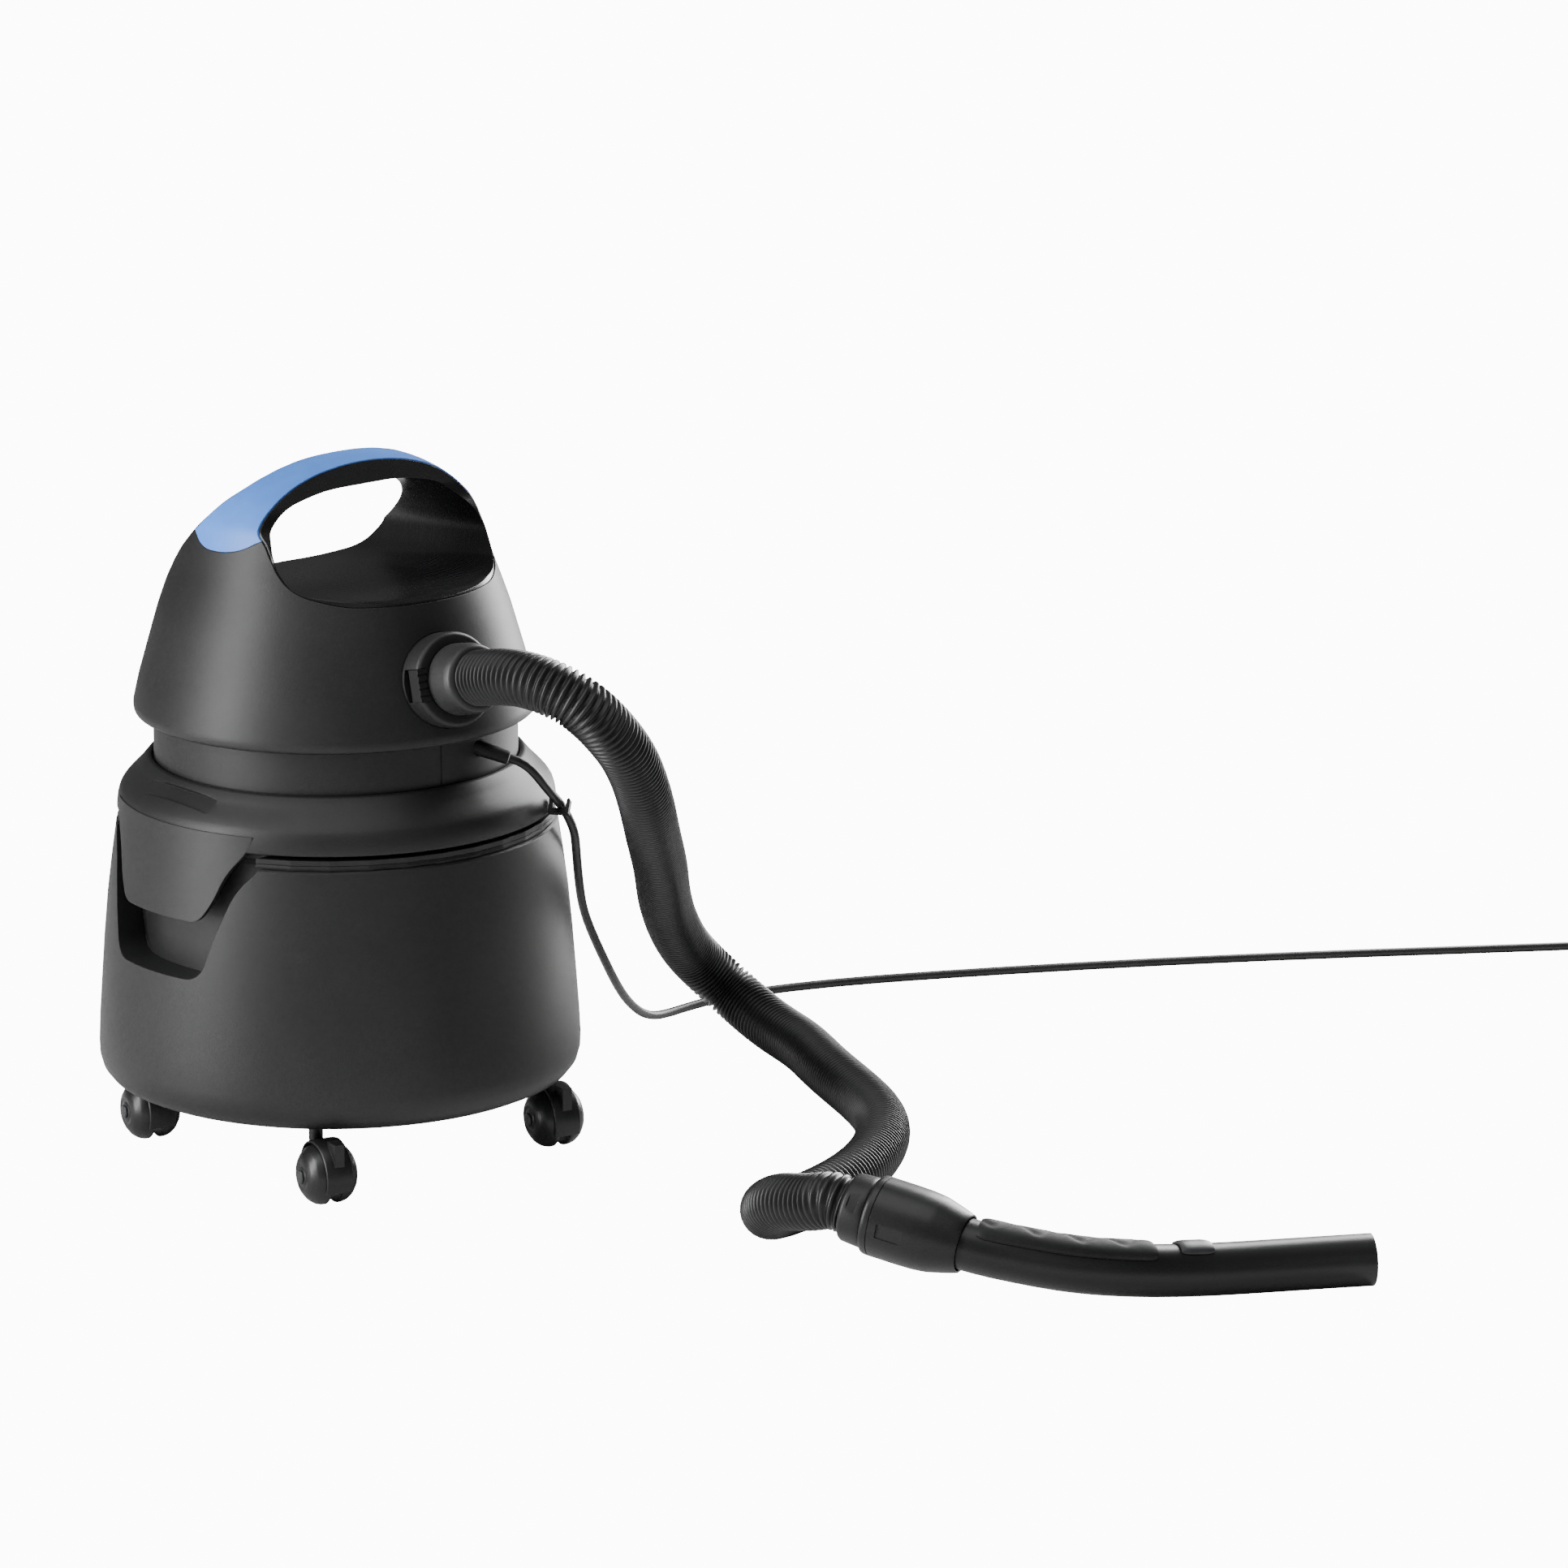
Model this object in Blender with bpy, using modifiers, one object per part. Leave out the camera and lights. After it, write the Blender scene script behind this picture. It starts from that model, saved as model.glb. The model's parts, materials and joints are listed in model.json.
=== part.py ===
"""Wet and dry drum blower on castors, with its hose, curved wand and mains lead.

Metres, +Z up. The origin is on the floor, under the axis of the drum. The hose socket faces -Y,
and the carrying handle spans along X.
"""
import math

import bmesh
import bpy
import numpy as np
from mathutils import Matrix, Vector

# ---- driving dimensions ---------------------------------------------------------------------
GAP = 0.0003
ROUND_STEPS = 36

TANK_RADIUS = 0.1705
TANK_BOTTOM = 0.052
TANK_RIM = 0.236
TANK_WALL = 0.003
POCKET_DEPTH_RADIUS = 0.142
POCKET_BOTTOM = 0.153

NECK_RADIUS = 0.128
COLLAR_TOP = 0.2835
COLLAR_BOTTOM = 0.2465
HEAD_BASE_LOW = 0.2400
HEAD_BASE_HIGH = 0.2435

DOME_BOTTOM = 0.3148
DOME_TOP = 0.4985
WELL_FLOOR = 0.4035
WELL_SLOPE = math.radians(6.0)
LINER_WALL = 0.0012
LINER_FLOOR = 0.0040

SOCKET_TURN = math.radians(-3.0)
SOCKET_TILT = math.radians(13.0)
SOCKET_HEIGHT = 0.3595
SOCKET_WALL_RADIUS = 0.1325
SOCKET_RADIUS = 0.0330
HOSE_RADIUS = 0.0195
HOSE_BORE = 0.0165

CASTOR_CIRCLE = 0.144
CASTOR_TRAIL = 0.017
CASTOR_HEADING = math.radians(-13.5)
WHEEL_RADIUS = 0.0213
HOOD_RADIUS = 0.0243

MOTOR_AXIS_TOP = 0.3865
FLOAT_SEAT_RADIUS = 0.0140
FLOAT_RADIUS = 0.0170

WAND_RADIUS = 0.0178
CONNECTOR_RADIUS = 0.0275
CORD_RADIUS = 0.00325
COIL_MID_RADIUS = 0.0358
COIL_HALF_WIDTH = 0.0195
COIL_HEIGHT = 0.0200

# ---- routes, chosen by hand along what the hose and the lead rest on --------------------------
HOSE_ROUTE = [
    (-0.0096, -0.1829, 0.3712), (-0.0110, -0.2060, 0.3758), (-0.0080, -0.2330, 0.3765),
    (0.0060, -0.2560, 0.3660), (0.0310, -0.2620, 0.3420), (0.0600, -0.2500, 0.3140),
    (0.0940, -0.2240, 0.2780), (0.1420, -0.1760, 0.2340), (0.2000, -0.1160, 0.1850),
    (0.2580, -0.0530, 0.1360), (0.3040, -0.0120, 0.0950), (0.3380, 0.0040, 0.0640),
    (0.3580, -0.0090, 0.0400), (0.3610, -0.0450, 0.0245), (0.3500, -0.0950, 0.0203),
    (0.3260, -0.1500, 0.0203), (0.3000, -0.2120, 0.0203), (0.2623, -0.2831, 0.0203),
    (0.2037, -0.3380, 0.0203), (0.1293, -0.3747, 0.0205), (0.0760, -0.3890, 0.0220),
    (0.0450, -0.4110, 0.0335), (0.0265, -0.4480, 0.0520), (0.0255, -0.4840, 0.0612),
    (0.0321, -0.5052, 0.0620),
]
WAND_ROUTE = [
    (0.0329, -0.5067, 0.0619), (0.0530, -0.5500, 0.0528), (0.0710, -0.5830, 0.0452),
    (0.0930, -0.6080, 0.0385), (0.1215, -0.6292, 0.0312), (0.1540, -0.6464, 0.0255),
    (0.1850, -0.6597, 0.0217), (0.2304, -0.6795, 0.0188), (0.2711, -0.7000, 0.0180),
    (0.3100, -0.7224, 0.0180),
]
CORD_ROUTE = [
    (0.1140, -0.1210, 0.2330), (0.1370, -0.0980, 0.2070), (0.1600, -0.0730, 0.1750),
    (0.1847, -0.0485, 0.1430), (0.2124, -0.0267, 0.1120), (0.2436, -0.0038, 0.0800),
    (0.2770, 0.0220, 0.0500), (0.3120, 0.0470, 0.0240), (0.3470, 0.0650, 0.0070),
    (0.3820, 0.0740, 0.0035), (0.4200, 0.0760, 0.0035), (0.4600, 0.0690, 0.0035),
    (0.5283, 0.0440, 0.0035), (0.6083, 0.0040, 0.0035), (0.7230, -0.0604, 0.0035),
    (0.8575, -0.1448, 0.0035), (1.0064, -0.2447, 0.0035),
]
COIL_CENTRE = Vector((1.0985, -0.2436, 0.0))
LEAD_END = (1.0462, -0.2711, 0.0036)

# ---- profiles (radius, height), each run down the outer side -----------------------------------
TANK_OUTER = [
    (0.0, TANK_RIM), (0.1555, TANK_RIM), (0.1625, 0.1833), (0.1678, 0.1200),
    (TANK_RADIUS, 0.0760), (0.1702, 0.0680), (0.1683, 0.0610), (0.1640, 0.0555),
    (0.1580, 0.0527), (0.1500, TANK_BOTTOM), (0.0, TANK_BOTTOM),
]
DOME_OUTER = [
    (0.0, DOME_TOP), (0.0180, 0.4981), (0.0340, 0.4965), (0.0520, 0.4925), (0.0670, 0.4870),
    (0.0790, 0.4803), (0.0880, 0.4734), (0.0955, 0.4664), (0.1015, 0.4595), (0.1045, 0.4500),
    (0.1080, 0.4386), (0.1110, 0.4246), (0.1175, 0.4070),
    (0.1235, 0.3900), (0.1318, 0.3610), (0.1378, 0.3400), (0.1419, 0.3215), (0.1412, 0.3165),
    (0.1385, DOME_BOTTOM), (0.0, DOME_BOTTOM),
]
COLLAR_SECTION = [
    (0.1325, COLLAR_TOP), (0.1390, 0.2755), (0.1470, 0.2675), (0.1515, 0.2622), (0.1537, 0.2560),
    (0.1547, COLLAR_BOTTOM), (0.1517, COLLAR_BOTTOM), (0.1505, 0.2555), (0.1440, 0.2640),
    (0.1290, 0.2780), (0.1290, COLLAR_TOP),
]

PLASTIC_BLACK = (0.028, 0.028, 0.030)
PLASTIC_GREY = (0.060, 0.061, 0.065)


# ---- scene and material helpers ------------------------------------------------------------------
def clear_scene():
    for obj in list(bpy.data.objects):
        bpy.data.objects.remove(obj, do_unlink=True)


def new_collection(name):
    collection = bpy.data.collections.new(name)
    bpy.context.scene.collection.children.link(collection)
    return collection


def make_material(name, colour, roughness=0.5, metallic=0.0):
    material = bpy.data.materials.new(name)
    material.use_nodes = True
    shader = material.node_tree.nodes["Principled BSDF"]
    shader.inputs["Base Color"].default_value = (*colour, 1.0)
    shader.inputs["Roughness"].default_value = roughness
    shader.inputs["Metallic"].default_value = metallic
    return material


def add_part(obj, colour, roughness=0.5, metallic=0.0):
    """Put a finished solid in the model's collection with a material of its own."""
    PARTS.objects.link(obj)
    obj.data.materials.clear()
    obj.data.materials.append(make_material(obj.name + "_finish", colour, roughness, metallic))
    if obj.type == "MESH":
        obj.data.shade_smooth()
        obj.data.set_sharp_from_angle(angle=math.radians(35))
    return obj


def add_cutter(obj):
    CUTTERS.objects.link(obj)
    obj.hide_render = True
    obj.display_type = "WIRE"
    return obj


def frame_along(origin, direction, up=(0, 0, 1)):
    """Matrix whose local +Z runs along direction, with local +Y as near up as it can be."""
    z = Vector(direction).normalized()
    x = Vector(up).cross(z).normalized()
    y = z.cross(x)
    turn = Matrix((x, y, z)).transposed().to_4x4()
    return Matrix.Translation(Vector(origin)) @ turn


def polar(azimuth, radius, height):
    """Point at an azimuth counted from -Y towards +X."""
    return Vector((radius * math.sin(azimuth), -radius * math.cos(azimuth), height))


# ---- shape helpers -------------------------------------------------------------------------------
def turned(name, profile, closed=False, steps=ROUND_STEPS):
    """Profile of (radius, height) turned about local Z with a Screw modifier."""
    mesh = bpy.data.meshes.new(name)
    edges = [(i, i + 1) for i in range(len(profile) - 1)]
    if closed:
        edges.append((len(profile) - 1, 0))
    mesh.from_pydata([(r, 0.0, z) for r, z in profile], edges, [])
    obj = bpy.data.objects.new(name, mesh)
    screw = obj.modifiers.new("turn", "SCREW")
    screw.axis = "Z"
    screw.angle = math.tau
    screw.steps = steps
    screw.render_steps = steps
    screw.use_merge_vertices = True
    screw.merge_threshold = 0.00001
    screw.use_normal_calculate = False
    return obj


def ring(name, inner, outer, low, high, steps=ROUND_STEPS):
    profile = [(outer, high), (outer, low), (inner, low), (inner, high)]
    return turned(name, profile, closed=True, steps=steps)


def rod(name, radius, low, high, steps=24):
    profile = [(0.0, high), (radius, high), (radius, low), (0.0, low)]
    return turned(name, profile, steps=steps)


def box(name, low, high, bevel=0.0):
    mesh = bpy.data.meshes.new(name)
    bm = bmesh.new()
    size = Vector(high) - Vector(low)
    middle = (Vector(high) + Vector(low)) / 2
    bmesh.ops.create_cube(bm, size=1.0)
    bmesh.ops.scale(bm, vec=size, verts=bm.verts)
    bmesh.ops.translate(bm, vec=middle, verts=bm.verts)
    bm.to_mesh(mesh)
    bm.free()
    obj = bpy.data.objects.new(name, mesh)
    if bevel:
        rounding = obj.modifiers.new("round", "BEVEL")
        rounding.width = bevel
        rounding.segments = 2
    return obj


def outline_solid(name, points, half_depth, matrix=None):
    """Flat outline in local XY, extruded both ways along local Z, as a mesh."""
    curve = bpy.data.curves.new(name, "CURVE")
    curve.dimensions = "2D"
    curve.fill_mode = "BOTH"
    curve.extrude = half_depth
    spline = curve.splines.new("POLY")
    spline.points.add(len(points) - 1)
    for point, (x, y) in zip(spline.points, points):
        point.co = (x, y, 0.0, 1.0)
    spline.use_cyclic_u = True
    return curve_to_mesh(bpy.data.objects.new(name, curve), matrix)


def curve_to_mesh(curve_object, matrix=None):
    """Weld a curve's evaluated solid into a plain mesh object, and drop the curve."""
    name = curve_object.name
    bpy.context.scene.collection.objects.link(curve_object)
    if matrix is not None:
        curve_object.matrix_world = matrix
    bpy.context.view_layer.update()
    evaluated = curve_object.evaluated_get(bpy.context.evaluated_depsgraph_get())
    mesh = bpy.data.meshes.new_from_object(evaluated)
    bm = bmesh.new()
    bm.from_mesh(mesh)
    bmesh.ops.remove_doubles(bm, verts=bm.verts, dist=0.00001)
    bmesh.ops.recalc_face_normals(bm, faces=bm.faces)
    bm.to_mesh(mesh)
    bm.free()
    placed = curve_object.matrix_world.copy()
    bpy.data.objects.remove(curve_object, do_unlink=True)
    obj = bpy.data.objects.new(name, mesh)
    obj.matrix_world = placed
    return obj


def smooth_path(route, spacing):
    """Even points on the natural cubic curve through the route's own points."""
    knots = np.array(route, dtype=float)
    s = np.concatenate([[0.0], np.cumsum(np.linalg.norm(np.diff(knots, axis=0), axis=1))])
    n = len(s)
    h = np.diff(s)
    system = np.eye(n)
    right = np.zeros((n, 3))
    for i in range(1, n - 1):
        system[i, i - 1:i + 2] = (h[i - 1], 2 * (h[i - 1] + h[i]), h[i])
        right[i] = 6 * ((knots[i + 1] - knots[i]) / h[i] - (knots[i] - knots[i - 1]) / h[i - 1])
    bend = np.linalg.solve(system, right)
    count = max(2, int(round(s[-1] / spacing)) + 1)
    points = []
    for u in np.linspace(0.0, s[-1], count):
        i = min(int(np.searchsorted(s, u, side="right")) - 1, n - 2)
        a = (s[i + 1] - u) / h[i]
        b = (u - s[i]) / h[i]
        curve_part = ((a ** 3 - a) * bend[i] + (b ** 3 - b) * bend[i + 1]) * h[i] ** 2 / 6
        points.append(Vector(a * knots[i] + b * knots[i + 1] + curve_part))
    return points


def path_curve(name, points):
    curve = bpy.data.curves.new(name, "CURVE")
    curve.dimensions = "3D"
    spline = curve.splines.new("POLY")
    spline.points.add(len(points) - 1)
    for point, place in zip(spline.points, points):
        point.co = (*place, 1.0)
    return curve


def wire(name, points, radius, resolution):
    """Solid round tube along the points."""
    curve = path_curve(name, points)
    curve.bevel_depth = radius
    curve.bevel_resolution = resolution
    curve.use_fill_caps = True
    return bpy.data.objects.new(name, curve)


def swept(name, points, section):
    """Closed section (across, up) swept along the points with its up side kept up."""
    shape = bpy.data.curves.new(name + "_section", "CURVE")
    shape.dimensions = "2D"
    outline = shape.splines.new("POLY")
    outline.points.add(len(section) - 1)
    for point, (x, y) in zip(outline.points, section):
        point.co = (x, y, 0.0, 1.0)
    outline.use_cyclic_u = True
    guide = add_cutter(bpy.data.objects.new(name + "_section", shape))
    curve = path_curve(name, points)
    curve.twist_mode = "Z_UP"
    curve.bevel_mode = "OBJECT"
    curve.bevel_object = guide
    curve.use_fill_caps = True
    return curve_to_mesh(bpy.data.objects.new(name, curve))


def arc_section(inner, outer, half_angle, steps=6):
    """Crescent between two radii, centred on straight up."""
    angles = np.linspace(-half_angle, half_angle, steps + 1)
    outside = [(outer * math.sin(a), outer * math.cos(a)) for a in angles]
    inside = [(inner * math.sin(a), inner * math.cos(a)) for a in angles[::-1]]
    return outside + inside


def boolean(obj, other, operation):
    step = obj.modifiers.new(other.name, "BOOLEAN")
    step.operation = operation
    step.solver = "EXACT"
    step.object = other


def cut(obj, *cutters):
    for cutter in cutters:
        boolean(obj, cutter, "DIFFERENCE")


def rounded_outline(corners, radius, steps=2):
    """Closed outline whose corners are replaced by arcs of about the given radius."""
    points = []
    count = len(corners)
    for i in range(count):
        before = Vector(corners[i - 1])
        here = Vector(corners[i])
        after = Vector(corners[(i + 1) % count])
        back = (before - here)
        ahead = (after - here)
        reach = min(radius, back.length * 0.45, ahead.length * 0.45)
        start = here + back.normalized() * reach
        end = here + ahead.normalized() * reach
        for k in range(steps + 1):
            t = k / steps
            points.append((1 - t) ** 2 * start + 2 * t * (1 - t) * here + t ** 2 * end)
    return [(p.x, p.y) for p in points]


def inset(profile, distance):
    """Profile with every radius and height drawn in by a wall thickness."""
    return [(max(0.0, r - distance), z - distance if z > DOME_BOTTOM + 0.1 else z) for r, z in profile]


# ---- side outlines, shared by the drum's pockets and the collar's flaps ---------------------------
# Local X of the side frame runs along world Y, and local Y runs up.
SIDE_FRAME = Matrix(((0, 0, 1, 0), (1, 0, 0, 0), (0, 1, 0, 0), (0, 0, 0, 1)))


def pocket_outline(grow=0.0):
    top = TANK_RIM + 0.02
    corners = [
        (0.088 + grow, top), (0.083 + grow, TANK_RIM), (0.068 + grow, 0.2189),
        (0.055 + grow, 0.1833), (0.046 + grow, POCKET_BOTTOM - grow),
        (-0.046 - grow, POCKET_BOTTOM - grow), (-0.055 - grow, 0.1833),
        (-0.068 - grow, 0.2189), (-0.083 - grow, TANK_RIM), (-0.088 - grow, top),
    ]
    return rounded_outline(corners, 0.012)


def flap_outline():
    top = 0.2620
    corners = [
        (0.078, top), (0.073, COLLAR_BOTTOM), (0.060, 0.2300), (0.051, 0.2080), (0.041, 0.1935),
        (-0.041, 0.1935), (-0.051, 0.2080), (-0.060, 0.2300), (-0.073, COLLAR_BOTTOM), (-0.078, top),
    ]
    return rounded_outline(corners, 0.010)


def side_prism(name, outline, sign, inner, outer):
    """Outline in the YZ plane, extruded along X between two distances on one side."""
    half = (outer - inner) / 2
    centre = Matrix.Translation(Vector((sign * (inner + outer) / 2, 0, 0)))
    return add_cutter(outline_solid(name, outline, half, centre @ SIDE_FRAME))


# ---- drum -------------------------------------------------------------------------------------------
def castor_places():
    return [(name, math.radians(angle)) for name, angle in
            (("front", -45.0), ("right", 45.0), ("back", 135.0), ("left", -135.0))]


def build_tank():
    tank = turned("tank", TANK_OUTER)
    hollow_profile = [
        (0.0, TANK_RIM + 0.002), (0.1555 - TANK_WALL, TANK_RIM + 0.002), (0.1625 - TANK_WALL, 0.1833),
        (TANK_RADIUS - TANK_WALL, 0.0760), (0.1645, 0.0640), (0.1600, 0.0578),
        (0.1500, TANK_BOTTOM + TANK_WALL), (0.0, TANK_BOTTOM + TANK_WALL),
    ]
    hollow = add_cutter(turned("tank_hollow", hollow_profile))
    for side, sign in (("left", -1), ("right", 1)):
        block = side_prism(f"pocket_wall_{side}", pocket_outline(TANK_WALL), sign, 0.05, 0.20)
        core = add_cutter(rod(f"pocket_wall_core_{side}", POCKET_DEPTH_RADIUS - TANK_WALL, 0.1, 0.3,
                              ROUND_STEPS))
        cut(block, core)
        cut(hollow, block)
    for name, angle in castor_places():
        boss = add_cutter(rod(f"boss_{name}", 0.0095, TANK_BOTTOM, TANK_BOTTOM + 0.020))
        boss.location = polar(angle, CASTOR_CIRCLE, 0)
        cut(hollow, boss)
    cut(tank, hollow)
    for side, sign in (("left", -1), ("right", 1)):
        pocket = side_prism(f"pocket_{side}", pocket_outline(), sign, 0.05, 0.20)
        core = add_cutter(rod(f"pocket_core_{side}", POCKET_DEPTH_RADIUS, 0.1, 0.3, ROUND_STEPS))
        cut(pocket, core)
        cut(tank, pocket)
    for name, angle in castor_places():
        bore = add_cutter(rod(f"stem_bore_{name}", 0.0050 + GAP, 0.04, TANK_BOTTOM + 0.0165, 16))
        bore.location = polar(angle, CASTOR_CIRCLE, 0)
        cut(tank, bore)
    add_part(tank, PLASTIC_BLACK, 0.55)


# ---- castors ------------------------------------------------------------------------------------------
def build_castor(name, angle):
    """Hood with its stem, twin wheel and axle. The axle is level, and the wheel trails the stem."""
    stem = polar(angle, CASTOR_CIRCLE, 0)
    heading = Vector((math.sin(CASTOR_HEADING), -math.cos(CASTOR_HEADING), 0))
    axle_direction = Vector((0, 0, 1)).cross(heading)
    hub = stem + heading * CASTOR_TRAIL + Vector((0, 0, WHEEL_RADIUS + 0.0002))
    frame = frame_along(hub, axle_direction)

    half = 0.0100
    hood_profile = [
        (0.0, 0.0035), (0.0225, 0.0035), (0.0225, half), (HOOD_RADIUS - 0.0012, half),
        (HOOD_RADIUS, half - 0.0020), (HOOD_RADIUS, -half + 0.0020), (HOOD_RADIUS - 0.0012, -half),
        (0.0225, -half), (0.0225, -0.0035), (0.0, -0.0035),
    ]
    hood = turned(f"castor_{name}_hood", hood_profile, steps=22)
    hood.matrix_world = frame
    below = add_cutter(box(f"castor_{name}_below", (-0.03, -0.03, -0.02), (0.03, -0.0085, 0.02)))
    below.matrix_world = frame
    post = add_cutter(rod(f"castor_{name}_post", 0.0050, 0.0408, TANK_BOTTOM + 0.0150, 12))
    post.location = stem
    web = add_cutter(box(f"castor_{name}_web", (-0.0225, 0.0100, -0.0036), (-0.0100, 0.0262, 0.0036)))
    web.matrix_world = frame
    tunnel = add_cutter(rod(f"castor_{name}_tunnel", 0.0029 + GAP, -0.03, 0.03, 12))
    tunnel.matrix_world = frame
    cut(hood, below)
    boolean(hood, web, "UNION")
    boolean(hood, post, "UNION")
    cut(hood, tunnel)
    add_part(hood, PLASTIC_BLACK, 0.45)

    rim = WHEEL_RADIUS
    wheel_profile = [
        (0.0033, 0.0195), (0.0090, 0.0190), (0.0180, 0.0140), (rim, 0.0075), (rim, 0.0042),
        (0.0033, 0.0042),
    ]
    wheels = []
    for label, sign in (("outer", 1), ("inner", -1)):
        wheel = turned(f"castor_{name}_wheel_{label}", wheel_profile, closed=True, steps=20)
        turn = Matrix.Rotation(0 if sign > 0 else math.pi, 4, "Y")
        wheel.matrix_world = frame @ turn
        wheels.append(add_part(wheel, PLASTIC_GREY, 0.5))

    axle_profile = [
        (0.0, 0.0215), (0.0040, 0.0213), (0.0050, 0.0200), (0.0029, 0.0200),
        (0.0029, -0.0200), (0.0050, -0.0200), (0.0040, -0.0213), (0.0, -0.0215),
    ]
    axle = turned(f"castor_{name}_axle", axle_profile, steps=12)
    axle.matrix_world = frame
    add_part(axle, (0.09, 0.09, 0.095), 0.4)


# ---- collar, head base and neck -----------------------------------------------------------------------
def build_collar():
    collar = turned("locking_collar", COLLAR_SECTION, closed=True)
    for side, sign in (("left", -1), ("right", 1)):
        flap_profile = [
            (0.1537, 0.2580), (0.1547, COLLAR_BOTTOM), (0.1578, 0.2189), (0.1612, 0.1915),
            (0.1584, 0.1915), (0.1550, 0.2189), (0.1519, COLLAR_BOTTOM), (0.1507, 0.2580),
        ]
        flap = add_cutter(turned(f"flap_{side}", flap_profile, closed=True))
        window = side_prism(f"flap_window_{side}", flap_outline(), sign, 0.05, 0.20)
        boolean(flap, window, "INTERSECT")
        boolean(collar, flap, "UNION")
    for side, sign in (("left", -1), ("right", 1)):
        slot = add_cutter(box(f"shoulder_slot_{side}", (-0.0060, -0.0370, -0.0035),
                              (0.0060, 0.0370, 0.0200)))
        slot.location = (sign * 0.1395, 0, 0.2752)
        slot.rotation_euler = (0, sign * math.radians(42), 0)
        cut(collar, slot)
    add_part(collar, PLASTIC_BLACK, 0.5)

    base_profile = [
        (0.0600, HEAD_BASE_HIGH), (0.1540, HEAD_BASE_HIGH), (0.1540, HEAD_BASE_LOW),
        (0.1382, HEAD_BASE_LOW), (0.1382, 0.2270), (0.1355, 0.2270), (0.1355, HEAD_BASE_LOW),
        (FLOAT_SEAT_RADIUS, HEAD_BASE_LOW), (FLOAT_SEAT_RADIUS, HEAD_BASE_HIGH),
    ]
    base = turned("head_base", base_profile, closed=True)
    notches = add_cutter(ring("rim_notches", 0.1437, 0.1900, 0.2300, 0.2450, 48))
    notches.rotation_euler = (0, 0, math.radians(2))
    band = add_cutter(box("rim_notch_band", (-0.25, -0.0787, 0.2200), (0.25, 0.0787, 0.2600)))
    boolean(notches, band, "INTERSECT")
    cut(base, notches)
    add_part(base, PLASTIC_BLACK, 0.6)

    seal_profile = [
        (0.1385, 0.2397), (0.1540, 0.2397), (0.1548, 0.2380), (0.1540, 0.2363), (0.1385, 0.2363),
    ]
    seal = turned("rim_seal", seal_profile, closed=True)
    cut(seal, notches)
    add_part(seal, (0.02, 0.02, 0.02), 0.8)

    neck = ring("neck_band", 0.1245, NECK_RADIUS, HEAD_BASE_HIGH + GAP, DOME_BOTTOM - GAP)
    gland_hole = add_cutter(rod("gland_hole", 0.0056 + GAP, -0.02, 0.02, 16))
    gland_hole.matrix_world = gland_frame()
    cut(neck, gland_hole)
    add_part(neck, PLASTIC_BLACK, 0.5)


# ---- dome, handle well and handle cover ------------------------------------------------------------------
def scoop_front_outline(lining):
    """Side view of the space in front of the handle, in (y, z), less a lining on its floor."""
    line = [(-0.0320, 0.520), (-0.0330, 0.4950), (-0.0340, 0.4664), (-0.0365, 0.4585),
            (-0.0437, 0.4525), (-0.0530, 0.4386), (-0.0670, 0.4246), (-0.0850, 0.4175),
            (-0.1070, 0.4120), (-0.1800, 0.4090)]
    moved = [(y - lining, z + lining * 0.8 * (z < 0.49)) for y, z in line]
    return moved + [(-0.1800 - lining, 0.520)]


def scoop_back_outline(lining):
    """Side view of the space behind the handle, in (y, z), less a lining on its floor."""
    line = [(-0.0045, 0.520), (-0.0040, 0.4930), (0.0017, 0.4803), (0.0085, 0.4734),
            (0.0180, 0.4595), (0.0260, 0.4525), (0.0420, 0.4386), (0.0600, 0.4246),
            (0.0750, 0.4140), (0.1000, 0.4030), (0.1800, 0.3980)]
    moved = [(y + lining, z + lining * 0.8 * (z < 0.49)) for y, z in line]
    return [(0.1800 + lining, 0.520)] + moved[::-1]


def handle_tunnel_outline(lining):
    """Front view of the hand opening, in (x, z), less a lining all round."""
    wall = LINER_WALL - lining
    floor = WELL_FLOOR - (LINER_FLOOR if lining == 0 else 0.0)
    half = [(0.0340, 0.4765 + wall), (0.0680, 0.4690 + wall), (0.0880 + wall, 0.4520),
            (0.0935 + wall, 0.4340), (0.0880 + wall, 0.4130), (0.0660, floor + 0.0030),
            (0.0270, floor)]
    return rounded_outline(half + [(-x, z) for x, z in reversed(half)], 0.016)


def opening_cutters(label, lining=0.0, shrink=0.0):
    """The two scoops and the sloping tunnel that leave the handle standing."""
    yz = Matrix(((0, 0, 1, 0), (1, 0, 0, 0), (0, 1, 0, 0), (0, 0, 0, 1)))
    xz = Matrix(((1, 0, 0, 0), (0, 0, -1, 0), (0, 1, 0, 0), (0, 0, 0, 1)))
    about = Vector((0, 0, 0.4400))
    slope = (Matrix.Translation(about) @ Matrix.Rotation(-WELL_SLOPE, 4, "X")
             @ Matrix.Translation(-about))
    front = add_cutter(outline_solid(f"scoop_front_{label}", scoop_front_outline(lining + shrink),
                                     0.18, yz))
    back = add_cutter(outline_solid(f"scoop_back_{label}", scoop_back_outline(lining + shrink),
                                    0.18, yz))
    outline = handle_tunnel_outline(lining)
    if shrink:
        outline = [(x - math.copysign(shrink, x), z + (shrink if z < 0.44 else -shrink))
                   for x, z in outline]
    tunnel = add_cutter(outline_solid(f"tunnel_{label}", outline, 0.19, slope @ xz))
    return [front, back, tunnel]


def cover_outline(drop):
    """Side view of the room for the handle cover, in (y, z), its lower edge lowered by drop."""
    edge = [(-0.1300, 0.4585), (-0.0470, 0.4575), (-0.0390, 0.4535), (-0.0280, 0.4470),
            (-0.0130, 0.4436), (0.0050, 0.4432), (0.0150, 0.4458), (0.0230, 0.4505),
            (0.0300, 0.4545), (0.1300, 0.4560)]
    return [(y, z - drop) for y, z in edge] + [(0.1300, 0.520), (-0.1300, 0.520)]


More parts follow.
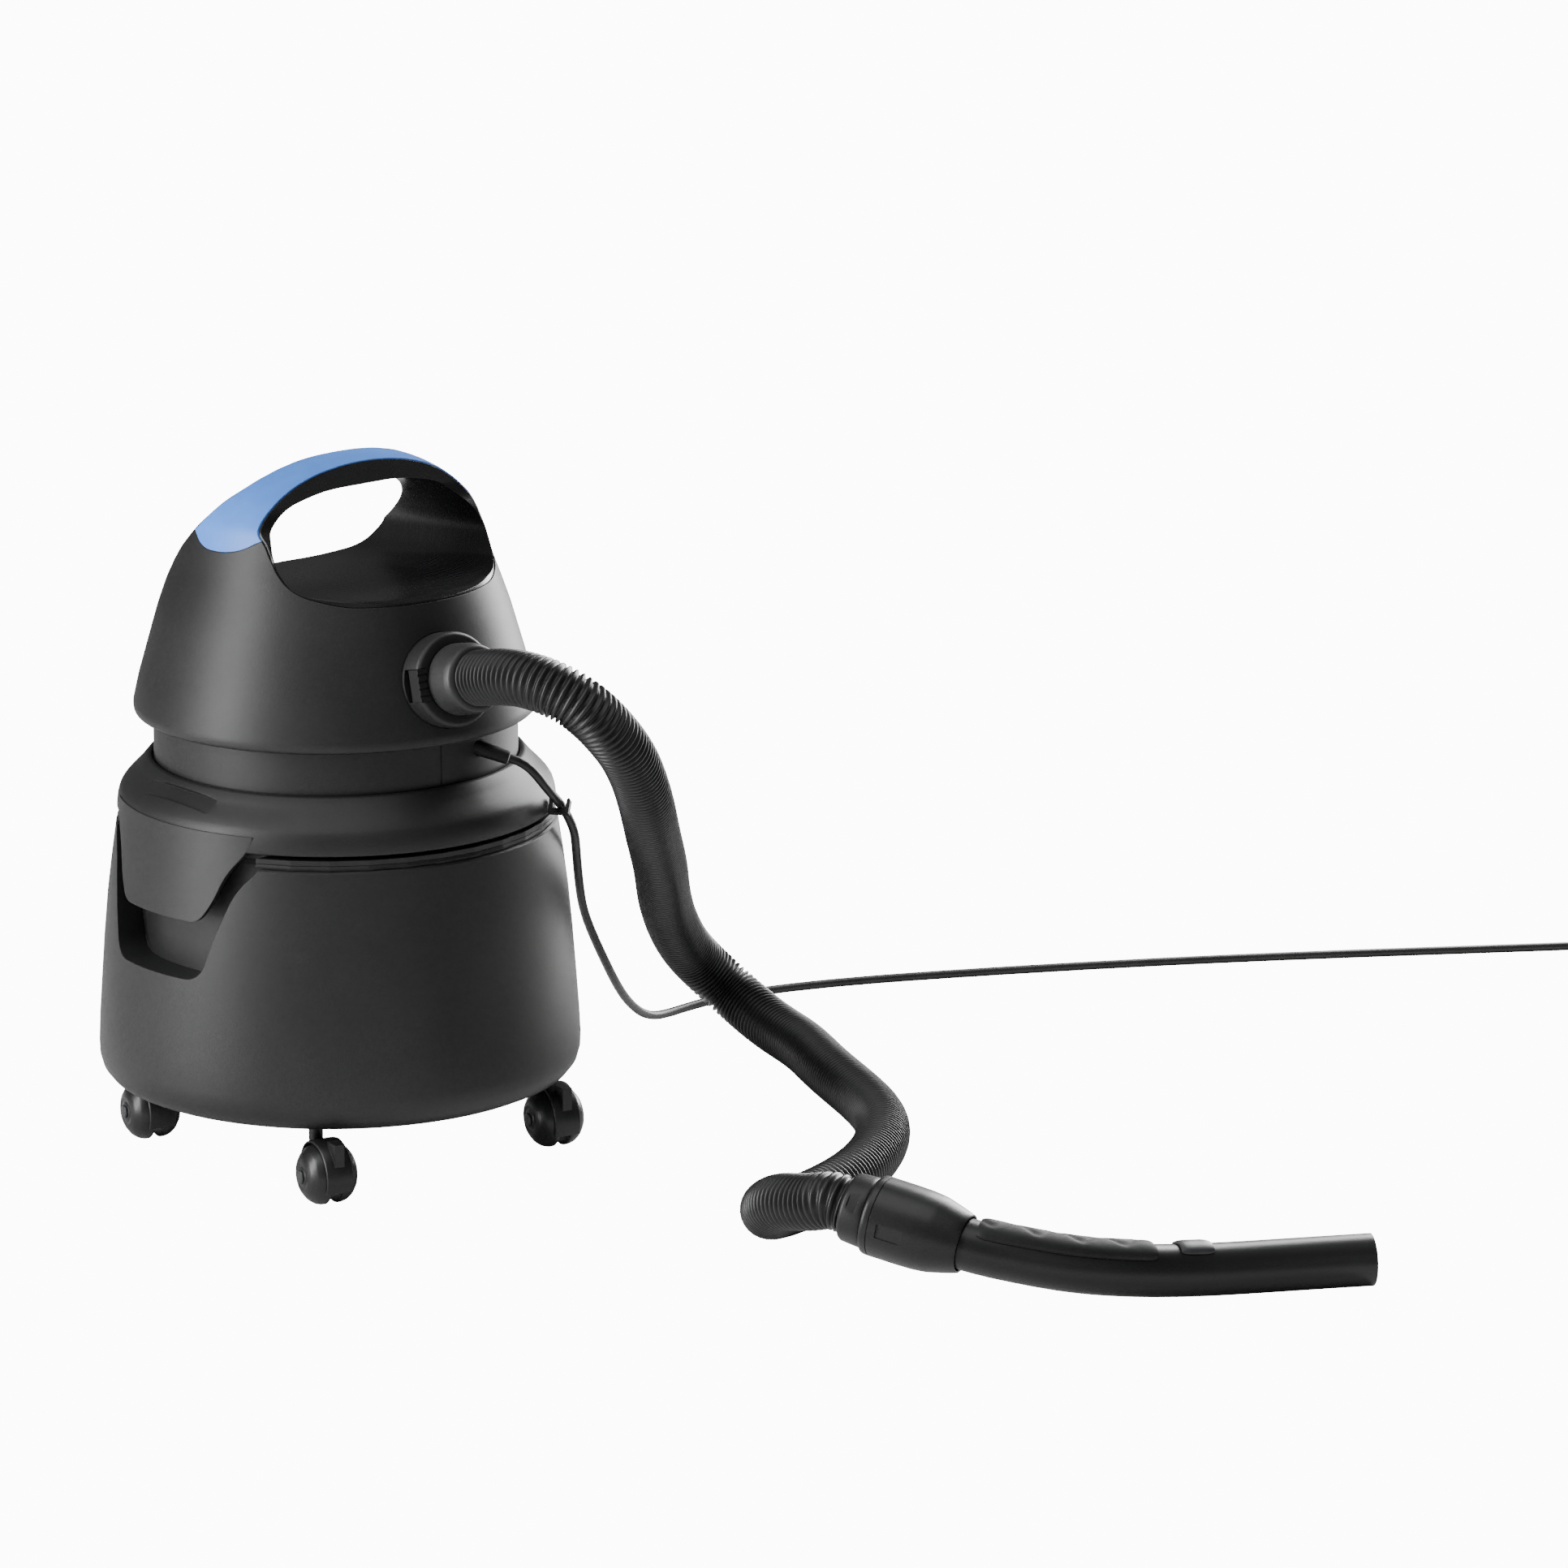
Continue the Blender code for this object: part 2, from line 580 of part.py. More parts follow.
def build_dome():
    housing = turned("head_housing", DOME_OUTER, steps=40)
    cavity_profile = [
        (0.0, 0.3830), (0.1219, 0.3830), (0.1286, 0.3610), (0.1346, 0.3400),
        (0.1386, 0.3215), (0.1386, DOME_BOTTOM - 0.002), (0.0, DOME_BOTTOM - 0.002),
    ]
    cavity = add_cutter(turned("dome_cavity", cavity_profile))
    cut(housing, cavity)
    cut(housing, *opening_cutters("wide"))
    yz = Matrix(((0, 0, 1, 0), (1, 0, 0, 0), (0, 1, 0, 0), (0, 0, 0, 1)))
    cover_zone = add_cutter(outline_solid("cover_zone", cover_outline(GAP), 0.14, yz))
    cover_core = add_cutter(turned("cover_core", inset(DOME_OUTER, 0.0033), steps=40))
    cut(cover_zone, cover_core)
    cut(housing, cover_zone)
    socket_hole = add_cutter(rod("socket_hole", SOCKET_RADIUS + GAP, -0.05, 0.05, 32))
    socket_hole.matrix_world = socket_frame()
    inlet_hole = add_cutter(rod("inlet_hole", 0.0300 + GAP, -0.05, 0.05, 32))
    inlet_hole.matrix_world = inlet_frame()
    switch_hole = add_cutter(box("switch_hole", (-0.0130 - GAP, -0.0180 - GAP, -0.03),
                                 (0.0130 + GAP, 0.0180 + GAP, 0.03)))
    switch_hole.matrix_world = switch_frame_matrix()
    cut(housing, socket_hole, inlet_hole, switch_hole)
    add_part(housing, PLASTIC_BLACK, 0.5)

    liner = turned("handle_well", inset(DOME_OUTER, 0.0006), steps=40)
    boolean(liner, opening_zone(), "INTERSECT")
    cut(liner, *opening_cutters("tight", LINER_WALL))
    cut(liner, inlet_hole)
    add_part(liner, (0.015, 0.015, 0.016), 0.3)


def opening_zone():
    """Everything that the housing gave up for the well, a gap inside its walls."""
    zone = None
    for piece in opening_cutters("zone", shrink=GAP):
        if zone is None:
            zone = piece
        else:
            boolean(zone, piece, "UNION")
    return zone


def build_handle_cover():
    cover = turned("handle_cover", DOME_OUTER, steps=40)
    core = add_cutter(turned("cover_inside", inset(DOME_OUTER, 0.0030), steps=40))
    yz = Matrix(((0, 0, 1, 0), (1, 0, 0, 0), (0, 1, 0, 0), (0, 0, 0, 1)))
    room = add_cutter(outline_solid("cover_room", cover_outline(0.0), 0.14, yz))
    boolean(cover, room, "INTERSECT")
    cut(cover, core, *opening_cutters("cover"))
    add_part(cover, (0.22, 0.37, 0.80), 0.42)


# ---- places of the fittings on the dome --------------------------------------------------------------------
def socket_frame():
    axis = Vector((math.sin(SOCKET_TURN) * math.cos(SOCKET_TILT),
                   -math.cos(SOCKET_TURN) * math.cos(SOCKET_TILT), math.sin(SOCKET_TILT)))
    return frame_along(polar(SOCKET_TURN, SOCKET_WALL_RADIUS, SOCKET_HEIGHT), axis)


def inlet_frame():
    return frame_along((0, 0.1325, 0.3595), (0, math.cos(SOCKET_TILT), math.sin(SOCKET_TILT)))


def switch_frame_matrix():
    tilt = math.radians(14)
    return frame_along((0.1325, 0, 0.3600), (math.cos(tilt), 0, math.sin(tilt)))


def gland_frame():
    return frame_along(polar(math.radians(12.0), 0.1240, 0.3050), (0.64, -0.66, -0.30))


def hook_frame():
    """Foot of the cord hook on the collar, turned so that the lead runs along its local X."""
    azimuth = math.radians(35.0)
    outward = polar(azimuth, 1.0, 0.0)
    return frame_along(polar(azimuth, 0.1551, 0.2520), outward, outward.cross((0.67, 0.44, -0.60)))


# ---- hose socket and its release button ----------------------------------------------------------------------
def build_socket():
    profile = [
        (0.0215, 0.0140), (SOCKET_RADIUS - 0.0020, 0.0140), (SOCKET_RADIUS, 0.0118),
        (SOCKET_RADIUS, -0.0120), (0.0260, -0.0220), (0.0215, -0.0220),
    ]
    socket = turned("hose_socket", profile, closed=True, steps=32)
    socket.matrix_world = socket_frame()
    button_bay = add_cutter(box("button_bay", (-0.0400, -0.0115, -0.0020), (-0.0243, 0.0115, 0.0200)))
    button_bay.matrix_world = socket_frame()
    cut(socket, button_bay)
    add_part(socket, PLASTIC_BLACK, 0.5)

    button = box("socket_button", (-0.0322, -0.0112, 0.0040), (-0.0250, 0.0112, 0.0150), 0.0008)
    button.matrix_world = socket_frame()
    for i in range(4):
        y = -0.0072 + 0.0048 * i
        groove = add_cutter(box(f"button_groove_{i}", (-0.0400, y - 0.0009, 0.0142),
                                (-0.0200, y + 0.0009, 0.0200)))
        groove.matrix_world = socket_frame()
        cut(button, groove)
    add_part(button, PLASTIC_BLACK, 0.5)

    cuff_profile = [
        (HOSE_BORE, 0.0395), (0.0205, 0.0395), (0.0232, 0.0380), (0.0245, 0.0330),
        (0.0248, 0.0200), (0.0248, 0.0146), (0.0212, 0.0146), (0.0212, -0.0150), (HOSE_BORE, -0.0150),
    ]
    cuff = turned("hose_cuff", cuff_profile, closed=True, steps=28)
    cuff.matrix_world = socket_frame()
    add_part(cuff, PLASTIC_BLACK, 0.45)


def build_inlet():
    profile = [
        (0.0215, 0.0080), (0.0285, 0.0080), (0.0300, 0.0060), (0.0300, -0.0100),
        (0.0250, -0.0180), (0.0215, -0.0180),
    ]
    inlet = turned("suction_inlet", profile, closed=True, steps=32)
    inlet.matrix_world = inlet_frame()
    add_part(inlet, PLASTIC_BLACK, 0.5)


def build_switch():
    bezel = box("switch_bezel", (-0.0130, -0.0180, -0.0080), (0.0130, 0.0180, 0.0030), 0.0015)
    bezel.matrix_world = switch_frame_matrix()
    well = add_cutter(box("switch_well", (-0.0082, -0.0128, -0.0050), (0.0082, 0.0128, 0.0100)))
    well.matrix_world = switch_frame_matrix()
    cut(bezel, well)
    add_part(bezel, PLASTIC_GREY, 0.45)

    side = [(-0.0105, 0.0002), (-0.0118, 0.0040), (-0.0020, 0.0016), (0.0118, 0.0046),
            (0.0105, -0.0008), (0.0040, -0.0038), (-0.0040, -0.0038)]
    across = Matrix(((0, 0, 1, 0), (1, 0, 0, 0), (0, 1, 0, 0), (0, 0, 0, 1)))
    rocker = outline_solid("switch_rocker", rounded_outline(side, 0.0008, 2), 0.0076,
                           switch_frame_matrix() @ across)
    add_part(rocker, (0.02, 0.02, 0.022), 0.35)


# ---- motor, fan and filter -----------------------------------------------------------------------------------------
def build_motor():
    case_profile = [
        (0.0460, 0.2830), (0.0600, 0.2830), (0.0620, 0.2800), (0.0620, HEAD_BASE_HIGH + GAP),
        (0.0590, HEAD_BASE_HIGH + GAP), (0.0590, 0.2790), (0.0460, 0.2790),
    ]
    case = turned("fan_case", case_profile, closed=True, steps=32)
    outlet = add_cutter(box("fan_case_outlet", (-0.020, -0.070, 0.2500), (0.020, -0.050, 0.2740)))
    cut(case, outlet)
    add_part(case, (0.45, 0.45, 0.46), 0.4, 0.8)

    impeller_profile = [
        (0.0, 0.2720), (0.0560, 0.2720), (0.0560, 0.2700), (0.0180, 0.2700), (0.0120, 0.2540),
        (0.0, 0.2540),
    ]
    impeller = turned("impeller", impeller_profile, steps=24)
    blade_count = 6
    for i in range(blade_count):
        blade = add_cutter(box(f"impeller_blade_{i}", (0.0100, -0.0008, 0.2560), (0.0550, 0.0008, 0.2705)))
        blade.rotation_euler = (0, 0, math.tau * i / blade_count)
        boolean(impeller, blade, "UNION")
    bore = add_cutter(rod("impeller_bore", 0.0040 + GAP, 0.24, 0.29, 16))
    cut(impeller, bore)
    add_part(impeller, (0.6, 0.6, 0.62), 0.35, 0.9)

    shaft = rod("motor_shaft", 0.0040, 0.2520, MOTOR_AXIS_TOP - 0.0050, 16)
    add_part(shaft, (0.7, 0.7, 0.7), 0.25, 1.0)

    armature = ring("armature", 0.0043, 0.0240, 0.2980, 0.3450, 24)
    add_part(armature, (0.45, 0.22, 0.08), 0.45, 0.9)

    can_profile = [
        (0.0080, 0.3620), (0.0400, 0.3620), (0.0440, 0.3580), (0.0440, 0.2833), (0.0260, 0.2833),
        (0.0260, 0.3560), (0.0080, 0.3560),
    ]
    can = turned("motor_can", can_profile, closed=True, steps=32)
    add_part(can, (0.5, 0.5, 0.52), 0.4, 0.85)

    fan_profile = [
        (0.0043, 0.3730), (0.0080, 0.3730), (0.0100, 0.3700), (0.0360, 0.3700), (0.0360, 0.3685),
        (0.0043, 0.3685),
    ]
    fan = turned("cooling_fan", fan_profile, closed=True, steps=24)
    for i in range(6):
        blade = add_cutter(box(f"fan_blade_{i}", (0.0085, -0.0007, 0.3690), (0.0350, 0.0007, 0.3780)))
        blade.rotation_euler = (0, 0, math.tau * i / 6)
        boolean(fan, blade, "UNION")
    add_part(fan, PLASTIC_GREY, 0.5)


def build_filter():
    cage = ring("float_cage", 0.0260, 0.0290, 0.1750, HEAD_BASE_LOW - GAP, 24)
    floor = add_cutter(rod("cage_floor", 0.0290, 0.1720, 0.1755, 24))
    boolean(cage, floor, "UNION")
    for i in range(4):
        window = add_cutter(box(f"cage_window_{i}", (0.0, -0.0110, 0.1850), (0.0400, 0.0110, 0.2250)))
        window.rotation_euler = (0, 0, math.tau * i / 4)
        cut(cage, window)
    add_part(cage, PLASTIC_GREY, 0.5)

    sleeve = ring("filter_sleeve", 0.0310, 0.0480, 0.1780, HEAD_BASE_LOW - GAP, 32)
    add_part(sleeve, (0.25, 0.25, 0.27), 0.95)

    mesh = bpy.data.meshes.new("float_ball")
    bm = bmesh.new()
    bmesh.ops.create_uvsphere(bm, u_segments=14, v_segments=9, radius=FLOAT_RADIUS)
    bm.to_mesh(mesh)
    bm.free()
    ball = bpy.data.objects.new("float_ball", mesh)
    ball.location = (0, 0, 0.1755 + FLOAT_RADIUS + GAP)
    add_part(ball, (0.75, 0.75, 0.72), 0.4)


# ---- latches, cord hook, gland and screws -----------------------------------------------------------------------------
def build_latches():
    """Clips that hang behind the flaps and hook under the ledge of the drum's pockets."""
    for side, sign in (("left", -1), ("right", 1)):
        outline = [
            (0.1440, 0.2385), (0.1478, 0.2385), (0.1500, 0.2280), (0.1510, 0.2040),
            (0.1490, 0.1960), (0.1462, 0.1960), (0.1462, 0.2050), (0.1450, 0.2260),
        ]
        points = [(sign * x, z) for x, z in outline]
        if sign < 0:
            points.reverse()
        flat = Matrix(((1, 0, 0, 0), (0, 0, -1, 0), (0, 1, 0, 0), (0, 0, 0, 1)))
        latch = outline_solid(f"latch_{side}", rounded_outline(points, 0.0012, 2), 0.0320, flat)
        add_part(latch, PLASTIC_GREY, 0.45)


def build_cord_fittings():
    gland_profile = [
        (0.0, 0.0260), (0.0046, 0.0260), (0.0050, 0.0240), (0.0056, 0.0020), (0.0056, -0.0090),
        (0.0076, -0.0090), (0.0076, -0.0120), (0.0, -0.0120),
    ]
    gland = turned("cord_gland", gland_profile, steps=20)
    gland.matrix_world = gland_frame()
    add_part(gland, (0.02, 0.02, 0.02), 0.6)

    shape = [(0.0055, 0.0000), (-0.0055, 0.0000), (-0.0055, 0.0030), (0.0020, 0.0030),
             (0.0020, 0.0125), (-0.0050, 0.0125), (-0.0060, 0.0140), (-0.0050, 0.0150),
             (0.0055, 0.0150)]
    side_on = Matrix(((0, 0, 1, 0), (-1, 0, 0, 0), (0, 1, 0, 0), (0, 0, 0, 1)))
    hook = outline_solid("cord_hook", shape, 0.0025, hook_frame() @ side_on)
    add_part(hook, PLASTIC_BLACK, 0.45)


def build_screws():
    for i in range(4):
        azimuth = math.radians(45 + 90 * i)
        profile = [
            (0.0, 0.2620), (0.0020, 0.2620), (0.0020, HEAD_BASE_LOW - 0.0004),
            (0.0042, HEAD_BASE_LOW - 0.0004), (0.0038, 0.2375), (0.0, 0.2370),
        ]
        screw = turned(f"head_screw_{i + 1}", profile, steps=10)
        screw.location = polar(azimuth, 0.1100, 0)
        add_part(screw, (0.6, 0.6, 0.6), 0.3, 1.0)


def bore_head_base():
    """Screw holes through the head base, with its own bosses above."""
    base = bpy.data.objects["head_base"]
    for i in range(4):
        azimuth = math.radians(45 + 90 * i)
        boss = add_cutter(rod(f"base_boss_{i}", 0.0060, HEAD_BASE_HIGH - 0.0012, 0.2640, 14))
        boss.location = polar(azimuth, 0.1100, 0)
        boolean(base, boss, "UNION")
        hole = add_cutter(rod(f"base_hole_{i}", 0.0020 + GAP, 0.2300, 0.2624, 14))
        hole.location = polar(azimuth, 0.1100, 0)
        cut(base, hole)


# ---- hose and wand -------------------------------------------------------------------------------------------------------
def build_hose():
    cuff_end = 0.0395 + GAP
    leaving = [tuple(socket_frame() @ Vector((0, 0, cuff_end + ahead))) for ahead in (0, 0.012)]
    arriving = [tuple(wand_frame() @ Vector((0, 0, -ahead))) for ahead in (0.012, 0.0010)]
    path = smooth_path(leaving + HOSE_ROUTE[2:-1] + arriving, 0.040)
    path.insert(1, Vector(leaving[1]))
    path.insert(-1, Vector(arriving[0]))
    hose = wire("hose", path, HOSE_RADIUS, 4)
    add_part(hose, PLASTIC_BLACK, 0.5)


def wand_frame():
    """Mouth of the wand's hose end, with local +Z running into the wand."""
    return frame_along(WAND_ROUTE[0], Vector(WAND_ROUTE[2]) - Vector(WAND_ROUTE[0]))


def build_wand():
    head = wand_frame()

    cuff_profile = [
        (0.0175, 0.0175), (0.0240, 0.0175), (0.0245, 0.0150), (0.0235, 0.0020), (0.0215, 0.0),
        (0.0175, 0.0),
    ]
    cuff = turned("wand_cuff", cuff_profile, closed=True, steps=32)
    cuff.matrix_world = head
    add_part(cuff, PLASTIC_BLACK, 0.45)

    connector_profile = [
        (0.0188, 0.0850), (0.0202, 0.0850), (0.0222, 0.0790), (0.0262, 0.0640), (0.0272, 0.0540),
        (CONNECTOR_RADIUS, 0.0420), (CONNECTOR_RADIUS, 0.0200), (0.0265, 0.0178), (0.0178, 0.0178),
        (0.0178, 0.0440), (0.0188, 0.0470),
    ]
    connector = turned("wand_connector", connector_profile, closed=True, steps=28)
    connector.matrix_world = head
    add_part(connector, PLASTIC_BLACK, 0.45)

    tube_points = [head @ Vector((0, 0, ahead)) for ahead in (0.0480, 0.0660, 0.0840)]
    tube_points += [Vector(p) for p in WAND_ROUTE[3:]]
    curve = path_curve("wand_tube", smooth_path(tube_points, 0.020))
    curve.bevel_depth = WAND_RADIUS
    curve.bevel_resolution = 6
    tube = curve_to_mesh(bpy.data.objects.new("wand_tube", curve))
    shell = tube.modifiers.new("wall", "SOLIDIFY")
    shell.thickness = 0.0020
    shell.offset = -1
    add_part(tube, PLASTIC_BLACK, 0.4)

    def stretch(low, high):
        return [p for p in smooth_path(tube_points, 0.0100) if low < (p - tube_points[0]).length < high]

    pad = swept("grip_pad", stretch(0.0430, 0.1600), arc_section(0.0184, 0.0208, math.radians(52)))
    add_part(pad, (0.018, 0.018, 0.018), 0.75)
    slider = swept("air_slider", stretch(0.1750, 0.2000), arc_section(0.0184, 0.0204, math.radians(38)))
    add_part(slider, PLASTIC_GREY, 0.4)


# ---- mains lead ---------------------------------------------------------------------------------------------------------------
def build_lead():
    gland_tip = 0.0260 + 2 * GAP
    leaving = [tuple(gland_frame() @ Vector((0, 0, gland_tip + ahead))) for ahead in (0, 0.006)]
    leaving.append((0.0680, -0.1470, 0.2750))
    leaving.append(tuple(hook_frame() @ Vector((0, 0.0018, 0.0078))))
    route = leaving + CORD_ROUTE + [LEAD_END]
    path = smooth_path(route, 0.0250)
    path.insert(1, Vector(leaving[1]))
    lead = wire("mains_lead", path, CORD_RADIUS, 2)
    add_part(lead, (0.02, 0.02, 0.02), 0.5)

    inner = COIL_MID_RADIUS - COIL_HALF_WIDTH
    outer = COIL_MID_RADIUS + COIL_HALF_WIDTH
    top = COIL_HEIGHT + GAP
    section = [
        (inner + 0.003, top), (outer - 0.003, top), (outer, top - 0.003), (outer, 0.0033),
        (outer - 0.003, GAP), (inner + 0.003, GAP), (inner, 0.0033), (inner, top - 0.003),
    ]
    coil = turned("lead_coil", section, closed=True, steps=32)
    coil.location = COIL_CENTRE
    add_part(coil, (0.02, 0.02, 0.02), 0.5)

    tie = box("coil_tie", (-0.0195, -0.0040, 0.0), (0.0195, 0.0040, 0.0018), 0.0005)
    tie.location = COIL_CENTRE + Vector((0, COIL_MID_RADIUS, top + GAP))
    tie.rotation_euler = (0, 0, math.radians(90))
    add_part(tie, (0.02, 0.02, 0.02), 0.6)

    plug_low = top + GAP
    outline = [(-0.0180, -0.0120), (0.0060, -0.0160), (0.0200, -0.0130), (0.0200, 0.0130),
               (0.0060, 0.0160), (-0.0180, 0.0120), (-0.0300, 0.0045), (-0.0300, -0.0045)]
    plug = outline_solid("plug_body", rounded_outline(outline, 0.003, 2), 0.0070,
                         Matrix.Translation(COIL_CENTRE + Vector((0.0, -0.0330, plug_low + 0.0070))))
    add_part(plug, (0.02, 0.02, 0.02), 0.45)
    for i, y in enumerate((-0.0095, 0.0095)):
        pin = rod(f"plug_pin_{i + 1}", 0.0020, 0.0, 0.0180, 12)
        place = COIL_CENTRE + Vector((0.0200 + GAP, -0.0330 + y, plug_low + 0.0070))
        pin.matrix_world = frame_along(place, (1, 0, 0))
        add_part(pin, (0.7, 0.62, 0.35), 0.25, 1.0)


# ---- assembly ---------------------------------------------------------------------------------------------------------------------
clear_scene()
PARTS = new_collection("drum_blower")
CUTTERS = new_collection("cutters")
build_tank()
for castor_name, castor_angle in castor_places():
    build_castor(castor_name, castor_angle)
build_collar()
bore_head_base()
build_dome()
build_handle_cover()
build_socket()
build_inlet()
build_switch()
build_motor()
build_filter()
build_latches()
build_cord_fittings()
build_screws()
build_hose()
build_wand()
build_lead()
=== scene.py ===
"""Drum vacuum blower with its hose, wand and mains lead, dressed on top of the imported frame.

Metres, in the frame's own axes: +Z up, origin on the floor under the drum's axis, hose socket facing -Y.
"""
import json
import math

import bmesh
import bpy
import numpy as np
from mathutils import Matrix, Vector


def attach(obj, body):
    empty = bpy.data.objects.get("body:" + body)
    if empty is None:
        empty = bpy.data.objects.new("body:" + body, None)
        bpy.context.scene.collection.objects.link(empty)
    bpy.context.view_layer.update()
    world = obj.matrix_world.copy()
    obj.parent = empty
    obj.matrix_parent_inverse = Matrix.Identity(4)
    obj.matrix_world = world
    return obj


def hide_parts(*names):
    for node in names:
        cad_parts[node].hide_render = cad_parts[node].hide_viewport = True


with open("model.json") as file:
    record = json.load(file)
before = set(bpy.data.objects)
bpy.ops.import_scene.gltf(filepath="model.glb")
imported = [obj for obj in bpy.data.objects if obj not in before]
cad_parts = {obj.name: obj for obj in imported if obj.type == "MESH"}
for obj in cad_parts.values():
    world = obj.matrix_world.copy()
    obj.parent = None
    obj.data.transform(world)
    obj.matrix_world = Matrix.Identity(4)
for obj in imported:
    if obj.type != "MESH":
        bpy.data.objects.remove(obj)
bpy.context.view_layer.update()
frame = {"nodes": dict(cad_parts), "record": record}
NODES = frame["nodes"]


# ---- camera and lights ------------------------------------------------------------------
def rotation(x, y, z):
    return Matrix((x, y, z)).transposed().to_4x4()


right = Vector((0.7531, -0.6579, 0.0))
back = Vector((-0.6363, -0.7284, 0.2541)).normalized()
right = (right - back * right.dot(back)).normalized()
up = back.cross(right)
camera_data = bpy.data.cameras.new("camera")
camera_data.sensor_width = 36
camera_data.lens = 182.1
camera_data.clip_start = 0.1
camera_data.clip_end = 200
camera = bpy.data.objects.new("camera", camera_data)
camera.matrix_world = Matrix.Translation((-3.3160, -4.2745, 1.6770)) @ rotation(right, up, back)
bpy.context.scene.collection.objects.link(camera)
bpy.context.scene.camera = camera


def area_light(name, azimuth, distance, height, size, power, aim=(0.0, 0.0, 0.25)):
    """Azimuth is counted from the camera's side of the object, positive to the picture's right."""
    a = math.radians(azimuth)
    level = Vector((back.x, back.y, 0)).normalized()
    side = Vector((right.x, right.y, 0)).normalized()
    place = (level * math.cos(a) + side * math.sin(a)) * distance + Vector((0, 0, height))
    data = bpy.data.lights.new(name, "AREA")
    data.shape = "RECTANGLE"
    data.size, data.size_y = size
    data.energy = power
    light = bpy.data.objects.new(name, data)
    light.location = place
    light.rotation_mode = "QUATERNION"
    light.rotation_quaternion = (Vector(aim) - place).to_track_quat("-Z", "Y")
    bpy.context.scene.collection.objects.link(light)
    return light


area_light("key_strip", -63, 1.9, 0.75, (0.70, 2.0), 62)
area_light("rim_strip", 138, 1.7, 0.75, (0.6, 1.9), 70)
area_light("top_soft", -10, 0.9, 2.6, (2.2, 2.2), 26, (0.2, -0.2, 0.1))
area_light("front_fill", 25, 3.2, 1.4, (1.6, 1.6), 3, (0.2, -0.3, 0.1))

world = bpy.data.worlds.new("studio")
bpy.context.scene.world = world
world.use_nodes = True
world.node_tree.nodes["Background"].inputs["Color"].default_value = (1, 1, 1, 1)
world.node_tree.nodes["Background"].inputs["Strength"].default_value = 0.10


# ---- materials -----------------------------------------------------------------------------------
class Nodes:
    """Small writer for a material's node tree, all in the object's own metres."""

    def __init__(self, name, **sockets):
        self.material = bpy.data.materials.new(name)
        self.material.use_nodes = True
        self.tree = self.material.node_tree
        self.shader = self.tree.nodes["Principled BSDF"]
        for key, value in sockets.items():
            self.shader.inputs[key.replace("_", " ")].default_value = value
        self.place = self.add("ShaderNodeTexCoord").outputs["Object"]

    def add(self, kind, **settings):
        node = self.tree.nodes.new(kind)
        for key, value in settings.items():
            if key in node.inputs:
                node.inputs[key].default_value = value
            else:
                setattr(node, key, value)
        return node

    def link(self, a, b):
        self.tree.links.new(a, b)

    def noise(self, scale, detail=3.0, roughness=0.55, stretch=None):
        node = self.add("ShaderNodeTexNoise", Scale=scale, Detail=detail, Roughness=roughness)
        source = self.place
        if stretch is not None:
            mapping = self.add("ShaderNodeMapping")
            mapping.inputs["Scale"].default_value = stretch
            self.link(source, mapping.inputs["Vector"])
            source = mapping.outputs["Vector"]
        self.link(source, node.inputs["Vector"])
        return node.outputs["Fac"]

    def ramp(self, factor, low, high, at=(0.35, 0.65)):
        node = self.add("ShaderNodeValToRGB")
        node.color_ramp.elements[0].position, node.color_ramp.elements[1].position = at
        node.color_ramp.elements[0].color = low
        node.color_ramp.elements[1].color = high
        self.link(factor, node.inputs["Fac"])
        return node.outputs["Color"]

    def span(self, factor, low, high):
        node = self.add("ShaderNodeMapRange")
        node.inputs["To Min"].default_value = low
        node.inputs["To Max"].default_value = high
        self.link(factor, node.inputs["Value"])
        return node.outputs["Result"]

    def math(self, operation, a, b):
        node = self.add("ShaderNodeMath", operation=operation)
        for socket, value in zip(node.inputs, (a, b)):
            if isinstance(value, (int, float)):
                socket.default_value = value
            else:
                self.link(value, socket)
        return node.outputs[0]

    def bump(self, height, strength, distance, normal=None):
        node = self.add("ShaderNodeBump", Strength=strength, Distance=distance)
        self.link(height, node.inputs["Height"])
        if normal is not None:
            self.link(normal, node.inputs["Normal"])
        self.link(node.outputs["Normal"], self.shader.inputs["Normal"])
        return node.outputs["Normal"]

    def wire(self, output, socket):
        self.link(output, self.shader.inputs[socket])


def grain_plastic(name, colour, roughness=0.47, grain=1500.0, depth=0.00005, edge=0.0008, dust=0.35):
    """Moulded plastic with an eroded fine grain, slightly worn and dusty in broad patches."""
    n = Nodes(name, Roughness=roughness, IOR=1.48)
    dark = tuple(c * 0.82 for c in colour) + (1,)
    light = tuple(min(1.0, c * 1.22 + 0.0015) for c in colour) + (1,)
    broad = n.noise(9.0, 4.0)
    n.wire(n.ramp(broad, dark, light), "Base Color")
    fine = n.noise(grain, 2.0, 0.6)
    mid = n.noise(grain * 0.38, 2.0, 0.5)
    patches = n.span(n.noise(22.0, 5.0, 0.6), -0.05 * dust, 0.10 * dust)
    speck = n.span(fine, -0.07, 0.07)
    n.wire(n.math("ADD", n.math("ADD", patches, speck), roughness), "Roughness")
    rounded = n.add("ShaderNodeBevel", samples=4)
    rounded.inputs["Radius"].default_value = edge
    n.bump(n.math("ADD", fine, n.math("MULTIPLY", mid, 0.7)), 1.0, depth, rounded.outputs["Normal"])
    return n.material


